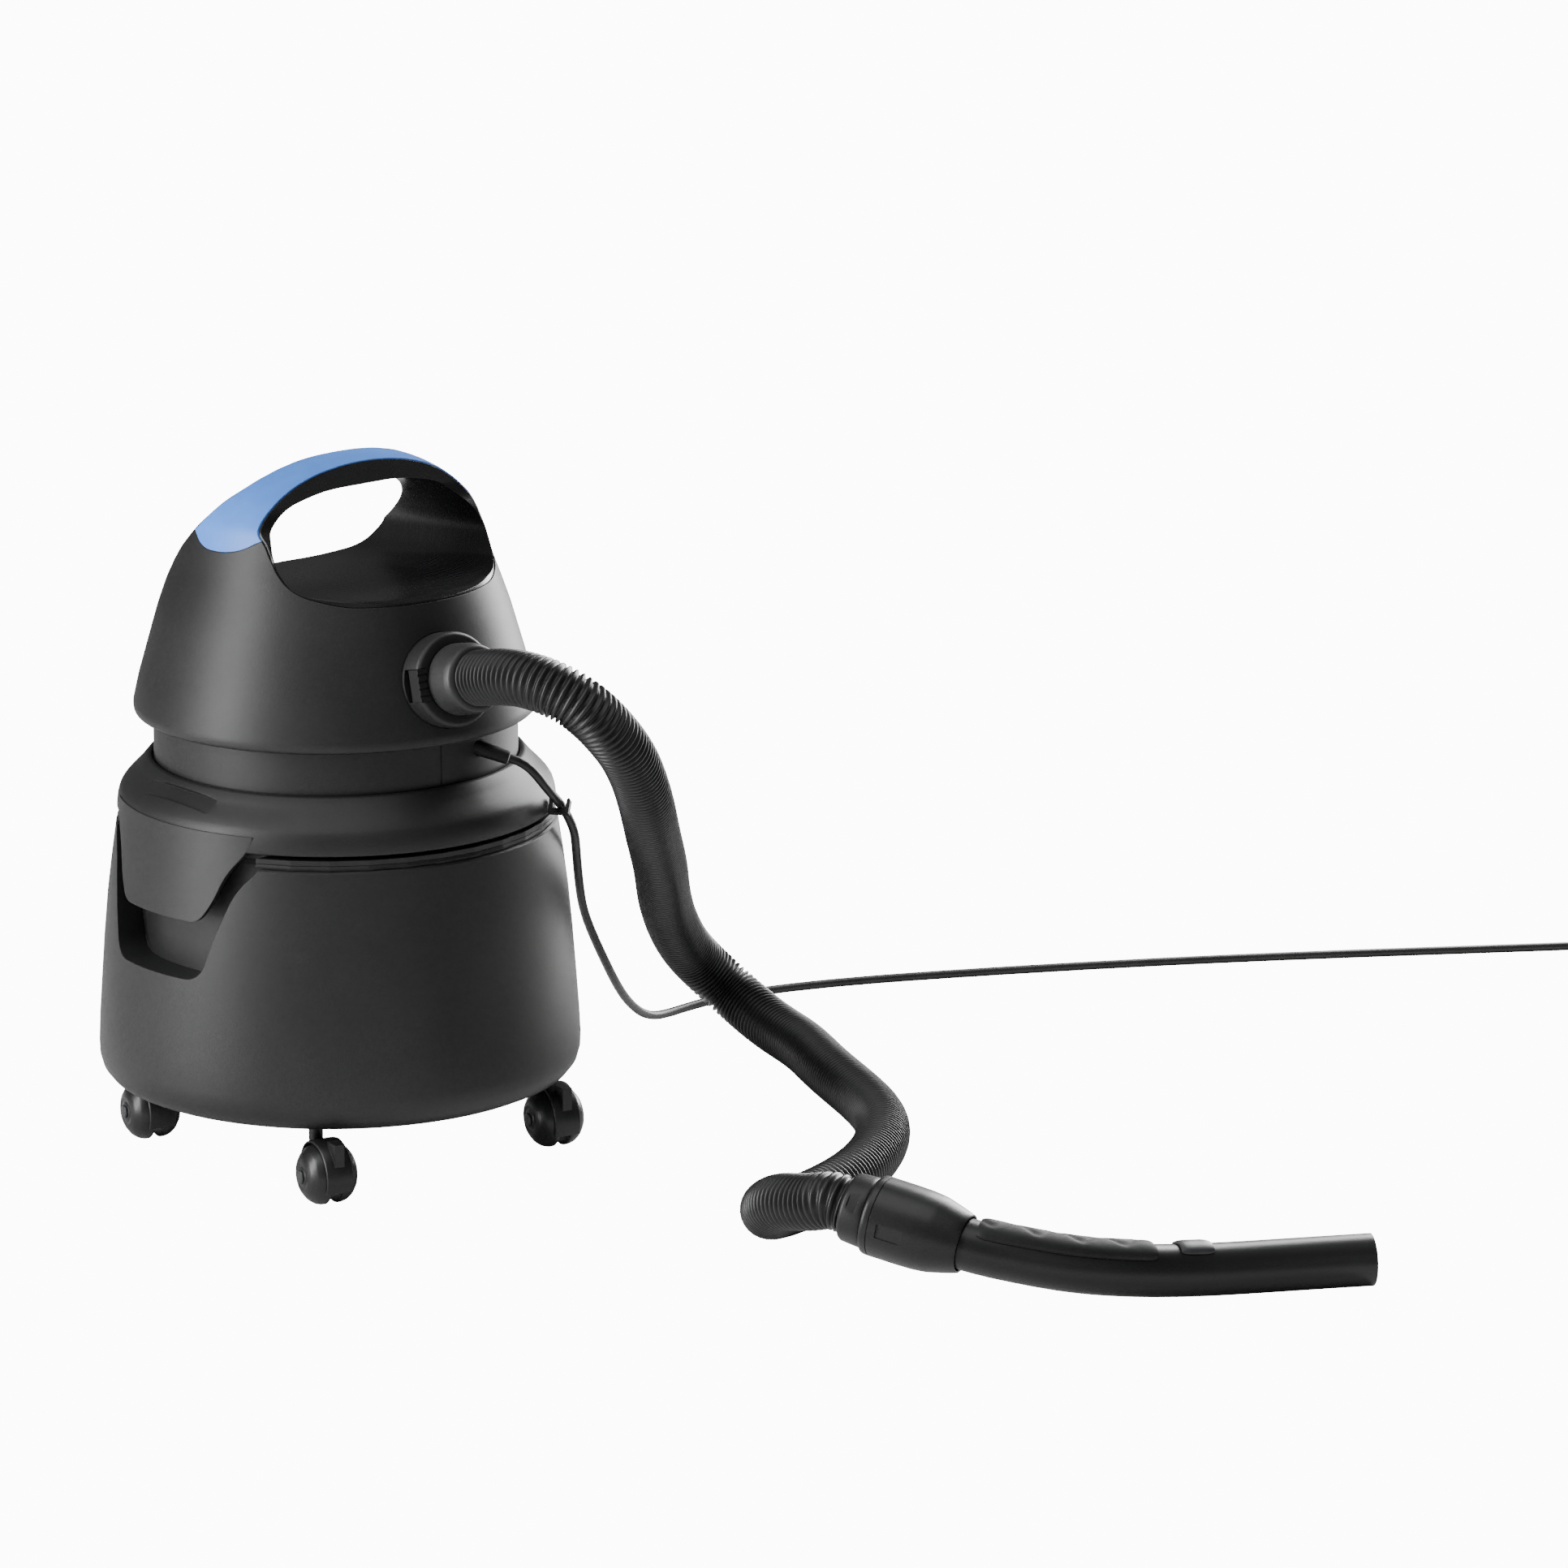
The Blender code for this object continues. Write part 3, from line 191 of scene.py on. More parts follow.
def smooth_plastic(name, colour, roughness=0.26, edge=0.0006):
    """Polished moulding: faint swirl marks and a soft waviness."""
    n = Nodes(name, Roughness=roughness, IOR=1.5)
    dark = tuple(c * 0.9 for c in colour) + (1,)
    light = tuple(min(1.0, c * 1.12 + 0.001) for c in colour) + (1,)
    n.wire(n.ramp(n.noise(14.0, 3.0), dark, light), "Base Color")
    scratch = n.noise(60.0, 4.0, 0.7, (1.0, 7.0, 1.0))
    n.wire(n.span(scratch, roughness - 0.05, roughness + 0.09), "Roughness")
    rounded = n.add("ShaderNodeBevel", samples=4)
    rounded.inputs["Radius"].default_value = edge
    n.bump(n.noise(420.0, 2.0), 0.35, 0.00003, rounded.outputs["Normal"])
    return n.material


def rubber(name, colour, roughness=0.6):
    n = Nodes(name, Roughness=roughness, IOR=1.45)
    dark = tuple(c * 0.85 for c in colour) + (1,)
    light = tuple(c * 1.25 + 0.002 for c in colour) + (1,)
    n.wire(n.ramp(n.noise(35.0, 4.0), dark, light), "Base Color")
    n.wire(n.span(n.noise(180.0, 3.0), roughness - 0.07, roughness + 0.08), "Roughness")
    n.bump(n.noise(1600.0, 2.0), 0.6, 0.00003)
    return n.material


def metal(name, colour, roughness=0.3, stretch=(1.0, 1.0, 12.0)):
    n = Nodes(name, Metallic=1.0, Roughness=roughness)
    dark = tuple(c * 0.85 for c in colour) + (1,)
    light = tuple(min(1.0, c * 1.1) for c in colour) + (1,)
    brushed = n.noise(240.0, 3.0, 0.6, stretch)
    n.wire(n.ramp(brushed, dark, light), "Base Color")
    n.wire(n.span(brushed, roughness - 0.08, roughness + 0.12), "Roughness")
    n.bump(brushed, 0.3, 0.00002)
    return n.material


def foam(name, colour):
    n = Nodes(name, Roughness=0.95)
    cells = n.add("ShaderNodeTexVoronoi", Scale=650.0)
    n.link(n.place, cells.inputs["Vector"])
    dark = tuple(c * 0.45 for c in colour) + (1,)
    light = tuple(c * 1.2 for c in colour) + (1,)
    n.wire(n.ramp(cells.outputs["Distance"], dark, light, (0.1, 0.7)), "Base Color")
    n.bump(cells.outputs["Distance"], 0.9, 0.0006)
    return n.material


BLACK = (0.0135, 0.0135, 0.0140)
BODY_PLASTIC = grain_plastic("body_grain", BLACK)
NECK_PLASTIC = grain_plastic("neck_grain", (0.0120, 0.0120, 0.0125), 0.5, 1200.0, 0.00006)
TRIM_PLASTIC = grain_plastic("trim_grain", (0.0110, 0.0110, 0.0115), 0.4, 1800.0, 0.00003, 0.0005)
GREY_PLASTIC = grain_plastic("grey_grain", (0.045, 0.046, 0.048), 0.42, 1600.0, 0.00003, 0.0005)
LINER_PLASTIC = smooth_plastic("well_gloss", (0.0085, 0.0085, 0.0090), 0.25)
BLUE_PLASTIC = grain_plastic("cover_blue", (0.095, 0.285, 0.960), 0.42, 1700.0, 0.00002, 0.0010, 0.2)
WHEEL_PLASTIC = smooth_plastic("wheel_satin", (0.0120, 0.0120, 0.0125), 0.33, 0.0007)
HOSE_PLASTIC = smooth_plastic("hose_satin", (0.0130, 0.0130, 0.0135), 0.36, 0.0)
WAND_PLASTIC = grain_plastic("wand_grain", (0.0125, 0.0125, 0.0130), 0.36, 1900.0, 0.00002, 0.0005)
SOFT_RUBBER = rubber("soft_grip", (0.0100, 0.0100, 0.0105), 0.62)
CUFF_PLASTIC = grain_plastic("cuff_grain", (0.026, 0.026, 0.027), 0.42, 1500.0, 0.00003, 0.0005)
CORD_RUBBER = rubber("lead_sheath", (0.0200, 0.0185, 0.0190), 0.42)
STEEL = metal("zinc_steel", (0.55, 0.55, 0.57))
BRASS = metal("pin_brass", (0.80, 0.66, 0.36), 0.22)
ALUMINIUM = metal("cast_aluminium", (0.62, 0.62, 0.64), 0.4, (1.0, 1.0, 1.0))
COPPER = metal("wound_copper", (0.72, 0.33, 0.16), 0.35, (1.0, 1.0, 30.0))
FOAM = foam("filter_foam", (0.20, 0.20, 0.22))
FLOAT_PLASTIC = smooth_plastic("float_white", (0.70, 0.70, 0.66), 0.4, 0.0)

finishes = {
    "rim_seal": SOFT_RUBBER, "head_base": BODY_PLASTIC, "fan_case": STEEL, "motor_can": STEEL,
    "motor_shaft": STEEL, "armature": COPPER, "impeller": ALUMINIUM, "cooling_fan": GREY_PLASTIC,
    "filter_sleeve": FOAM, "float_cage": GREY_PLASTIC, "float_ball": FLOAT_PLASTIC,
    "suction_inlet": TRIM_PLASTIC, "switch_bezel": GREY_PLASTIC, "switch_rocker": TRIM_PLASTIC,
    "latch_left": GREY_PLASTIC, "latch_right": GREY_PLASTIC, "cord_gland": SOFT_RUBBER,
    "cord_hook": TRIM_PLASTIC, "coil_tie": SOFT_RUBBER, "plug_body": TRIM_PLASTIC,
    "plug_pin_1": BRASS, "plug_pin_2": BRASS, "hose_socket": BODY_PLASTIC,
    "socket_button": TRIM_PLASTIC, "hose_cuff": TRIM_PLASTIC, "tank": BODY_PLASTIC,
    "head_housing": BODY_PLASTIC, "handle_well": LINER_PLASTIC, "handle_cover": BLUE_PLASTIC,
    "neck_band": NECK_PLASTIC, "locking_collar": BODY_PLASTIC, "wand_cuff": TRIM_PLASTIC,
    "wand_connector": WAND_PLASTIC, "wand_tube": WAND_PLASTIC, "grip_pad": SOFT_RUBBER,
    "air_slider": GREY_PLASTIC,
}
for i in range(4):
    finishes[f"head_screw_{i + 1}"] = STEEL
for corner in ("front", "right", "back", "left"):
    finishes[f"castor_{corner}_hood"] = TRIM_PLASTIC
    finishes[f"castor_{corner}_wheel_outer"] = WHEEL_PLASTIC
    finishes[f"castor_{corner}_wheel_inner"] = WHEEL_PLASTIC
    finishes[f"castor_{corner}_axle"] = GREY_PLASTIC
for node, material in finishes.items():
    for material_slot in NODES[node].material_slots:
        material_slot.material = material

# ---- shape helpers ---------------------------------------------------------------------------------
GAP = 0.0003
HOSE_RADIUS = 0.0195
RIB_DEPTH = 0.0026
RIB_STEP = 0.00073  # six rings to a rib, so the ribs are 4.4 mm apart
CORD_RADIUS = 0.00325
YZ = Matrix(((0, 0, 1, 0), (1, 0, 0, 0), (0, 1, 0, 0), (0, 0, 0, 1)))
XZ = Matrix(((1, 0, 0, 0), (0, 0, -1, 0), (0, 1, 0, 0), (0, 0, 0, 1)))
BODY_OF = {}
for body_name, body_nodes in frame["record"]["behaviour"]["bodies"].items():
    for body_node in body_nodes:
        BODY_OF[body_node] = body_name


def frame_along(origin, direction, upward=(0, 0, 1)):
    z = Vector(direction).normalized()
    x = Vector(upward).cross(z).normalized()
    return Matrix.Translation(Vector(origin)) @ rotation(x, z.cross(x), z)


def polar(azimuth, radius, height):
    return Vector((radius * math.sin(azimuth), -radius * math.cos(azimuth), height))


def solid(name, points, faces, matrix=None):
    """Closed mesh with its faces turned outwards, its points already moved by the matrix."""
    mesh = bpy.data.meshes.new(name)
    if matrix is not None:
        points = [matrix @ Vector(p) for p in points]
    mesh.from_pydata([tuple(p) for p in points], [], faces)
    bm = bmesh.new()
    bm.from_mesh(mesh)
    bmesh.ops.recalc_face_normals(bm, faces=bm.faces)
    bm.to_mesh(mesh)
    bm.free()
    obj = bpy.data.objects.new(name, mesh)
    bpy.context.scene.collection.objects.link(obj)
    return obj


def turned(name, profile, steps=144, closed=False, matrix=None):
    """Profile of (radius, height) turned about local Z."""
    points, rows = [], []
    for r, z in profile:
        if r < 1e-7:
            rows.append([len(points)])
            points.append((0, 0, z))
        else:
            rows.append(list(range(len(points), len(points) + steps)))
            points += [(r * math.cos(math.tau * k / steps), r * math.sin(math.tau * k / steps), z)
                       for k in range(steps)]
    faces = []
    count = len(rows)
    for i in range(count if closed else count - 1):
        a, b = rows[i], rows[(i + 1) % count]
        for k in range(steps):
            quad = [a[k % len(a)], a[(k + 1) % len(a)], b[(k + 1) % len(b)], b[k % len(b)]]
            face = list(dict.fromkeys(quad))
            if len(face) > 2:
                faces.append(face)
    return solid(name, points, faces, matrix)


def ring(name, inner, outer, low, high, steps=144, matrix=None):
    return turned(name, [(outer, high), (outer, low), (inner, low), (inner, high)], steps, True, matrix)


def rod(name, radius, low, high, steps=48, matrix=None):
    return turned(name, [(0, high), (radius, high), (radius, low), (0, low)], steps, False, matrix)


def prism(name, outline, low, high, matrix=None):
    """Flat outline in local XY, extruded along local Z."""
    count = len(outline)
    points = [(x, y, low) for x, y in outline] + [(x, y, high) for x, y in outline]
    faces = [list(range(count))[::-1], list(range(count, 2 * count))]
    faces += [[i, (i + 1) % count, count + (i + 1) % count, count + i] for i in range(count)]
    return solid(name, points, faces, matrix)


def box(name, low, high, matrix=None):
    outline = [(low[0], low[1]), (high[0], low[1]), (high[0], high[1]), (low[0], high[1])]
    return prism(name, outline, low[2], high[2], matrix)


def combine(obj, operation, *others):
    """Boolean with each of the others in turn, which are then dropped."""
    for other in others:
        step = obj.modifiers.new("step", "BOOLEAN")
        step.operation = operation
        step.solver = "EXACT"
        step.object = other
    bpy.context.view_layer.update()
    mesh = bpy.data.meshes.new_from_object(obj.evaluated_get(bpy.context.evaluated_depsgraph_get()))
    obj.modifiers.clear()
    obj.data = mesh
    for other in others:
        bpy.data.objects.remove(other, do_unlink=True)
    return obj


def cut(obj, *others):
    return combine(obj, "DIFFERENCE", *others)


def softened(points, rounds=3, closed=False, most=0.010):
    """Corners cut back again and again, which leaves a smooth line."""
    for _ in range(rounds):
        fresh = [] if closed else [points[0]]
        count = len(points)
        for i in range(count if closed else count - 2):
            a, b, c = (Vector(points[(i + k - closed) % count]) for k in range(3))
            reach = min((a - b).length, (c - b).length, most) * 0.25
            fresh.append(tuple(b + (a - b).normalized() * reach))
            fresh.append(tuple(b + (c - b).normalized() * reach))
        if not closed:
            fresh.append(points[-1])
        points = fresh
    return points


def rounded_outline(corners, radius, steps=8):
    points = []
    count = len(corners)
    for i in range(count):
        before, here, after = (Vector(corners[(i + k) % count]) for k in (-1, 0, 1))
        reach = min(radius, (before - here).length * 0.45, (after - here).length * 0.45)
        start = here + (before - here).normalized() * reach
        end = here + (after - here).normalized() * reach
        for k in range(steps + 1):
            t = k / steps
            points.append((1 - t) ** 2 * start + 2 * t * (1 - t) * here + t ** 2 * end)
    return [(p.x, p.y) for p in points]


def show(obj, node, material, sharp=32):
    """The finished piece takes the place of its CAD node, on the node's body, in the material it is given.
    """
    obj.name = node + "_shown"
    obj.data.materials.clear()
    obj.data.materials.append(material)
    obj.data.shade_smooth()
    obj.data.set_sharp_from_angle(angle=math.radians(sharp))
    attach(obj, BODY_OF[node])
    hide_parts(node)
    return obj


def smooth_path(route, spacing):
    """Even points on the natural cubic curve through the route's own points."""
    knots = np.array([tuple(p) for p in route], dtype=float)
    s = np.concatenate([[0.0], np.cumsum(np.linalg.norm(np.diff(knots, axis=0), axis=1))])
    n = len(s)
    h = np.diff(s)
    system = np.eye(n)
    side = np.zeros((n, 3))
    for i in range(1, n - 1):
        system[i, i - 1:i + 2] = (h[i - 1], 2 * (h[i - 1] + h[i]), h[i])
        side[i] = 6 * ((knots[i + 1] - knots[i]) / h[i] - (knots[i] - knots[i - 1]) / h[i - 1])
    bend = np.linalg.solve(system, side)
    points = []
    for u in np.linspace(0.0, s[-1], max(2, int(round(s[-1] / spacing)) + 1)):
        i = min(int(np.searchsorted(s, u, side="right")) - 1, n - 2)
        a, b = (s[i + 1] - u) / h[i], (u - s[i]) / h[i]
        part = ((a ** 3 - a) * bend[i] + (b ** 3 - b) * bend[i + 1]) * h[i] ** 2 / 6
        points.append(Vector(a * knots[i] + b * knots[i + 1] + part))
    return points


def run_length(points):
    return sum((Vector(b) - Vector(a)).length for a, b in zip(points, points[1:]))


def tube_mesh(name, points, radii, segments=28):
    """Capped tube of changing radius along points, with a frame that doesn't twist."""
    points = [Vector(p) for p in points]
    ahead = [(points[min(i + 1, len(points) - 1)] - points[max(i - 1, 0)]).normalized()
             for i in range(len(points))]
    across = ahead[0].orthogonal().normalized()
    verts, faces = [], []
    rows = []
    for place, way, radius in zip(points, ahead, radii):
        across = (across - way * across.dot(way)).normalized()
        other = way.cross(across)
        rows.append(list(range(len(verts), len(verts) + segments)))
        for k in range(segments):
            a = math.tau * k / segments
            verts.append(place + (across * math.cos(a) + other * math.sin(a)) * radius)
    for a, b in zip(rows, rows[1:]):
        faces += [[a[k], a[(k + 1) % segments], b[(k + 1) % segments], b[k]] for k in range(segments)]
    faces += [rows[0][::-1], rows[-1]]
    return solid(name, verts, faces)


# ---- places of the fittings ------------------------------------------------------------------------
SOCKET_TURN, SOCKET_TILT = math.radians(-3.0), math.radians(13.0)
SOCKET = frame_along(polar(SOCKET_TURN, 0.1325, 0.3595),
                     (math.sin(SOCKET_TURN) * math.cos(SOCKET_TILT),
                      -math.cos(SOCKET_TURN) * math.cos(SOCKET_TILT), math.sin(SOCKET_TILT)))
INLET = frame_along((0, 0.1325, 0.3595), (0, math.cos(SOCKET_TILT), math.sin(SOCKET_TILT)))
SWITCH = frame_along((0.1325, 0, 0.3600), (math.cos(math.radians(14)), 0, math.sin(math.radians(14))))
GLAND = frame_along(polar(math.radians(12.0), 0.1240, 0.3050), (0.64, -0.66, -0.30))
HOOK_AZIMUTH = math.radians(35.0)
HOOK = frame_along(polar(HOOK_AZIMUTH, 0.1551, 0.2520), polar(HOOK_AZIMUTH, 1.0, 0.0),
                   polar(HOOK_AZIMUTH, 1.0, 0.0).cross((0.67, 0.44, -0.60)))
HOSE_ROUTE = [
    (-0.0096, -0.1829, 0.3712), (-0.0110, -0.2060, 0.3758), (-0.0080, -0.2330, 0.3765),
    (0.0060, -0.2560, 0.3660), (0.0310, -0.2620, 0.3420), (0.0600, -0.2500, 0.3140),
    (0.0940, -0.2240, 0.2780), (0.1420, -0.1760, 0.2340), (0.2000, -0.1160, 0.1850),
    (0.2580, -0.0530, 0.1360), (0.3040, -0.0120, 0.0950), (0.3380, 0.0040, 0.0640),
    (0.3580, -0.0090, 0.0400), (0.3610, -0.0450, 0.0245), (0.3500, -0.0950, 0.0203),
    (0.3260, -0.1500, 0.0203), (0.3000, -0.2120, 0.0203), (0.2623, -0.2831, 0.0203),
    (0.2037, -0.3380, 0.0203), (0.1293, -0.3747, 0.0205), (0.0760, -0.3890, 0.0220),
    (0.0450, -0.4110, 0.0335), (0.0265, -0.4480, 0.0520), (0.0255, -0.4840, 0.0612),
    (0.0321, -0.5052, 0.0620),
]
WAND_ROUTE = [
    (0.0329, -0.5067, 0.0619), (0.0530, -0.5500, 0.0528), (0.0710, -0.5830, 0.0452),
    (0.0930, -0.6080, 0.0385), (0.1215, -0.6292, 0.0312), (0.1540, -0.6464, 0.0255),
    (0.1850, -0.6597, 0.0217), (0.2304, -0.6795, 0.0188), (0.2711, -0.7000, 0.0180),
    (0.3100, -0.7224, 0.0180),
]
CORD_ROUTE = [
    (0.1140, -0.1210, 0.2330), (0.1370, -0.0980, 0.2070), (0.1600, -0.0730, 0.1750),
    (0.1847, -0.0485, 0.1430), (0.2124, -0.0267, 0.1120), (0.2436, -0.0038, 0.0800),
    (0.2770, 0.0220, 0.0500), (0.3120, 0.0470, 0.0240), (0.3470, 0.0650, 0.0070),
    (0.3820, 0.0740, 0.0035), (0.4200, 0.0760, 0.0035), (0.4600, 0.0690, 0.0035),
    (0.5283, 0.0440, 0.0035), (0.6083, 0.0040, 0.0035), (0.7230, -0.0604, 0.0035),
    (0.8575, -0.1448, 0.0035), (1.0064, -0.2447, 0.0035),
]
COIL_CENTRE = Vector((1.0985, -0.2436, 0.0))
WAND = frame_along(WAND_ROUTE[0], Vector(WAND_ROUTE[2]) - Vector(WAND_ROUTE[0]))


# ---- hose, wand and lead ---------------------------------------------------------------------------
def build_hose():
    """Ribbed hose from the cuff in the socket to the wand's cuff, and its centreline."""
    leaving = [SOCKET @ Vector((0, 0, 0.0398 + a)) for a in (0, 0.012)]
    arriving = [WAND @ Vector((0, 0, -a)) for a in (0.012, 0.0010)]
    path = smooth_path(leaving + [Vector(p) for p in HOSE_ROUTE[2:-1]] + arriving, RIB_STEP)
    wave = (0.0, 0.0, 0.45, 1.0, 1.0, 0.45)
    radii = [HOSE_RADIUS - RIB_DEPTH * wave[i % 6] for i in range(len(path))]
    return show(tube_mesh("hose_ribs", path, radii), "hose", HOSE_PLASTIC, sharp=80), path


def build_lead():
    """Lead from the gland over the hook and along the floor, then coiled, then over to the plug."""
    leaving = [GLAND @ Vector((0, 0, 0.0266 + a)) for a in (0, 0.006)]
    route = leaving + [Vector((0.0680, -0.1470, 0.2750)), HOOK @ Vector((0, 0.0018, 0.0078))]
    entry = COIL_CENTRE + Vector((-0.0286, -0.04316, 0.0036))
    route += [Vector(p) for p in CORD_ROUTE] + [Vector((1.0462, -0.2711, 0.0036)), entry]
    path = smooth_path(route, 0.006)
    start = math.atan2(-0.83, -0.55)
    coil = []
    hold = 0.35
    for layer, turns in enumerate((5.0, 5.0, 4.593)):
        pause = hold if layer else 0.0
        near, far = (0.052, 0.0195) if layer != 1 else (0.0195, 0.052)
        for k in range(int(turns * 40)):
            t = k / 40
            share = max(0.0, (t - pause) / (turns - pause))
            climb = min(1.0, t / hold) if layer else 1.0
            height = 0.0036 + 0.0065 * (layer - 1 + climb)
            radius = near + (far - near) * share
            a = start + math.tau * t
            coil.append(COIL_CENTRE + Vector((radius * math.cos(a), radius * math.sin(a), height)))
        start += math.tau * turns
    over = [(-0.0150, 0.0235, 0.0200), (-0.0303, 0.0230, 0.0262), (-0.0500, 0.0150, 0.0268),
            (-0.0583, -0.0050, 0.0268), (-0.0500, -0.0250, 0.0270), (-0.0303, -0.0330, 0.0273)]
    last = smooth_path([coil[-6], coil[-1]] + [COIL_CENTRE + Vector(p) for p in over], 0.004)
    path = path + coil[1:-5] + last[1:]
    curve = bpy.data.curves.new("lead_line", "CURVE")
    curve.dimensions = "3D"
    spline = curve.splines.new("POLY")
    spline.points.add(len(path) - 1)
    for point, place in zip(spline.points, path):
        point.co = (*place, 1.0)
    spline.use_smooth = True
    curve.bevel_depth = CORD_RADIUS
    curve.bevel_resolution = 4
    curve.use_fill_caps = True
    lead = bpy.data.objects.new("lead_shown", curve)
    bpy.context.scene.collection.objects.link(lead)
    curve.materials.append(CORD_RUBBER)
    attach(lead, BODY_OF["mains_lead"])
    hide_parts("mains_lead", "lead_coil")
    return lead, path


def build_wand():
    cuff = turned("cuff", softened([
        (0.0175, 0.0175), (0.0240, 0.0175), (0.0245, 0.0150), (0.0235, 0.0020), (0.0215, 0.0),
        (0.0175, 0.0)], 2, True, 0.004), 96, True, WAND)
    for turn in (30, 150, 270):
        spin = WAND @ Matrix.Rotation(math.radians(turn), 4, "Z")
        cut(cuff, box("window", (0.0232, -0.0070, 0.0050), (0.0300, 0.0070, 0.0120), spin))
    pieces = [show(cuff, "wand_cuff", TRIM_PLASTIC)]
    connector = turned("connector", softened([
        (0.0188, 0.0850), (0.0202, 0.0850), (0.0222, 0.0790), (0.0262, 0.0640), (0.0272, 0.0540),
        (0.0275, 0.0420), (0.0275, 0.0200), (0.0265, 0.0178), (0.0178, 0.0178),
        (0.0178, 0.0440), (0.0188, 0.0470)], 2, True, 0.006), 96, True, WAND)
    cut(connector, ring("seam", 0.0268, 0.0300, 0.0236, 0.0243, 96, WAND),
        box("slot", (-0.0300, -0.0050, 0.0300), (-0.0262, 0.0050, 0.0480), WAND))
    pieces.append(show(connector, "wand_connector", WAND_PLASTIC))
    line = [WAND @ Vector((0, 0, a)) for a in (0.0480, 0.0660, 0.0840)]
    line += [Vector(p) for p in WAND_ROUTE[3:]]
    fine = smooth_path(line, 0.004)
    tube = tube_mesh("tube", fine, [0.0178] * len(fine), 56)
    way = (fine[-1] - fine[-6]).normalized()
    mouth = frame_along(fine[-1], way)
    cut(tube, rod("mouth", 0.0158, -0.040, 0.010, 56, mouth))
    pieces.append(show(tube, "wand_tube", WAND_PLASTIC, sharp=50))

    def strip(name, low, high, inner, outer, half_angle, node, material):
        stretch = [p for p in smooth_path(line, 0.002) if low < (p - line[0]).length < high]
        count = 18
        verts, faces = [], []
        for i, place in enumerate(stretch):
            way = (stretch[min(i + 1, len(stretch) - 1)] - stretch[max(i - 1, 0)]).normalized()
            side = way.cross(Vector((0, 0, 1))).normalized()
            top = side.cross(way)
            end = min(i, len(stretch) - 1 - i)
            ease = math.sqrt(max(0.0, 1 - (1 - min(1, (end + 0.5) / 4)) ** 2))
            for j in range(count + 1):
                a = half_angle * (2 * j / count - 1) * (0.75 + 0.25 * ease)
                lift = ease * math.sqrt(max(0.0, 1 - abs(2 * j / count - 1) ** 8))
                if node == "grip_pad":
                    wave = math.sin(i * 0.42) * 0.30
                    near = abs((2 * j / count - 1) - wave)
                    lift *= 1.0 - 0.45 * math.exp(-(near / 0.11) ** 2)
                r = inner + (outer - inner) * max(0.12, lift)
                verts.append(place + (side * math.sin(a) + top * math.cos(a)) * r)
            for j in range(count, -1, -1):
                a = half_angle * (2 * j / count - 1) * (0.75 + 0.25 * ease)
                verts.append(place + (side * math.sin(a) + top * math.cos(a)) * inner)
        row = 2 * (count + 1)
        for i in range(len(stretch) - 1):
            faces += [[i * row + k, i * row + (k + 1) % row, (i + 1) * row + (k + 1) % row,
                       (i + 1) * row + k] for k in range(row)]
        faces += [list(range(row))[::-1], list(range((len(stretch) - 1) * row, len(stretch) * row))]
        return show(solid(name, verts, faces), node, material, sharp=60)

    pieces.append(strip("pad", 0.0430, 0.1600, 0.0182, 0.0208, math.radians(52), "grip_pad", SOFT_RUBBER))
    pieces.append(strip("slide", 0.1750, 0.2000, 0.0182, 0.0204, math.radians(38), "air_slider",
                        GREY_PLASTIC))
    return pieces


hose, hose_path = build_hose()
wand_pieces = build_wand()
lead, lead_path = build_lead()
print("hose %.3f m, lead %.3f m" % (run_length(hose_path), run_length(lead_path)))


# ---- drum ------------------------------------------------------------------------------------------
CASTORS = (("front", -45.0), ("right", 45.0), ("back", 135.0), ("left", -135.0))


def pocket_outline(grow=0.0):
    top = 0.256
    corners = [(0.088 + grow, top), (0.083 + grow, 0.236), (0.068 + grow, 0.2189),
               (0.055 + grow, 0.1833), (0.046 + grow, 0.153 - grow)]
    return rounded_outline(corners + [(-x, z) for x, z in reversed(corners)], 0.014)


def side_prism(outline, sign):
    return prism("side", outline, 0.05, 0.20, YZ if sign > 0 else Matrix.Scale(-1, 4, (1, 0, 0)) @ YZ)


def build_tank():
    outer = [(0.0, 0.236), (0.1537, 0.236), (0.1555, 0.2348), (0.1592, 0.2090), (0.1625, 0.1833),
             (0.1654, 0.1520), (0.1678, 0.1200), (0.1696, 0.0950), (0.1705, 0.0760), (0.1702, 0.0680),
             (0.1683, 0.0610), (0.1640, 0.0555), (0.1580, 0.0527), (0.1500, 0.052), (0.0, 0.052)]
    tank = turned("tank", outer, 192)
    hollow = turned("hollow", [
        (0.0, 0.240), (0.1525, 0.240), (0.1595, 0.1833), (0.1675, 0.0760), (0.1645, 0.0640),
        (0.1600, 0.0578), (0.1500, 0.055), (0.0, 0.055)], 96)
    for sign in (-1, 1):
        cut(hollow, cut(side_prism(pocket_outline(0.003), sign), rod("core", 0.139, 0.1, 0.3, 96)))
    cut(tank, hollow)
    for sign in (-1, 1):
        cut(tank, cut(side_prism(pocket_outline(), sign), rod("core", 0.142, 0.1, 0.3, 144)))
    show(tank, "tank", BODY_PLASTIC)


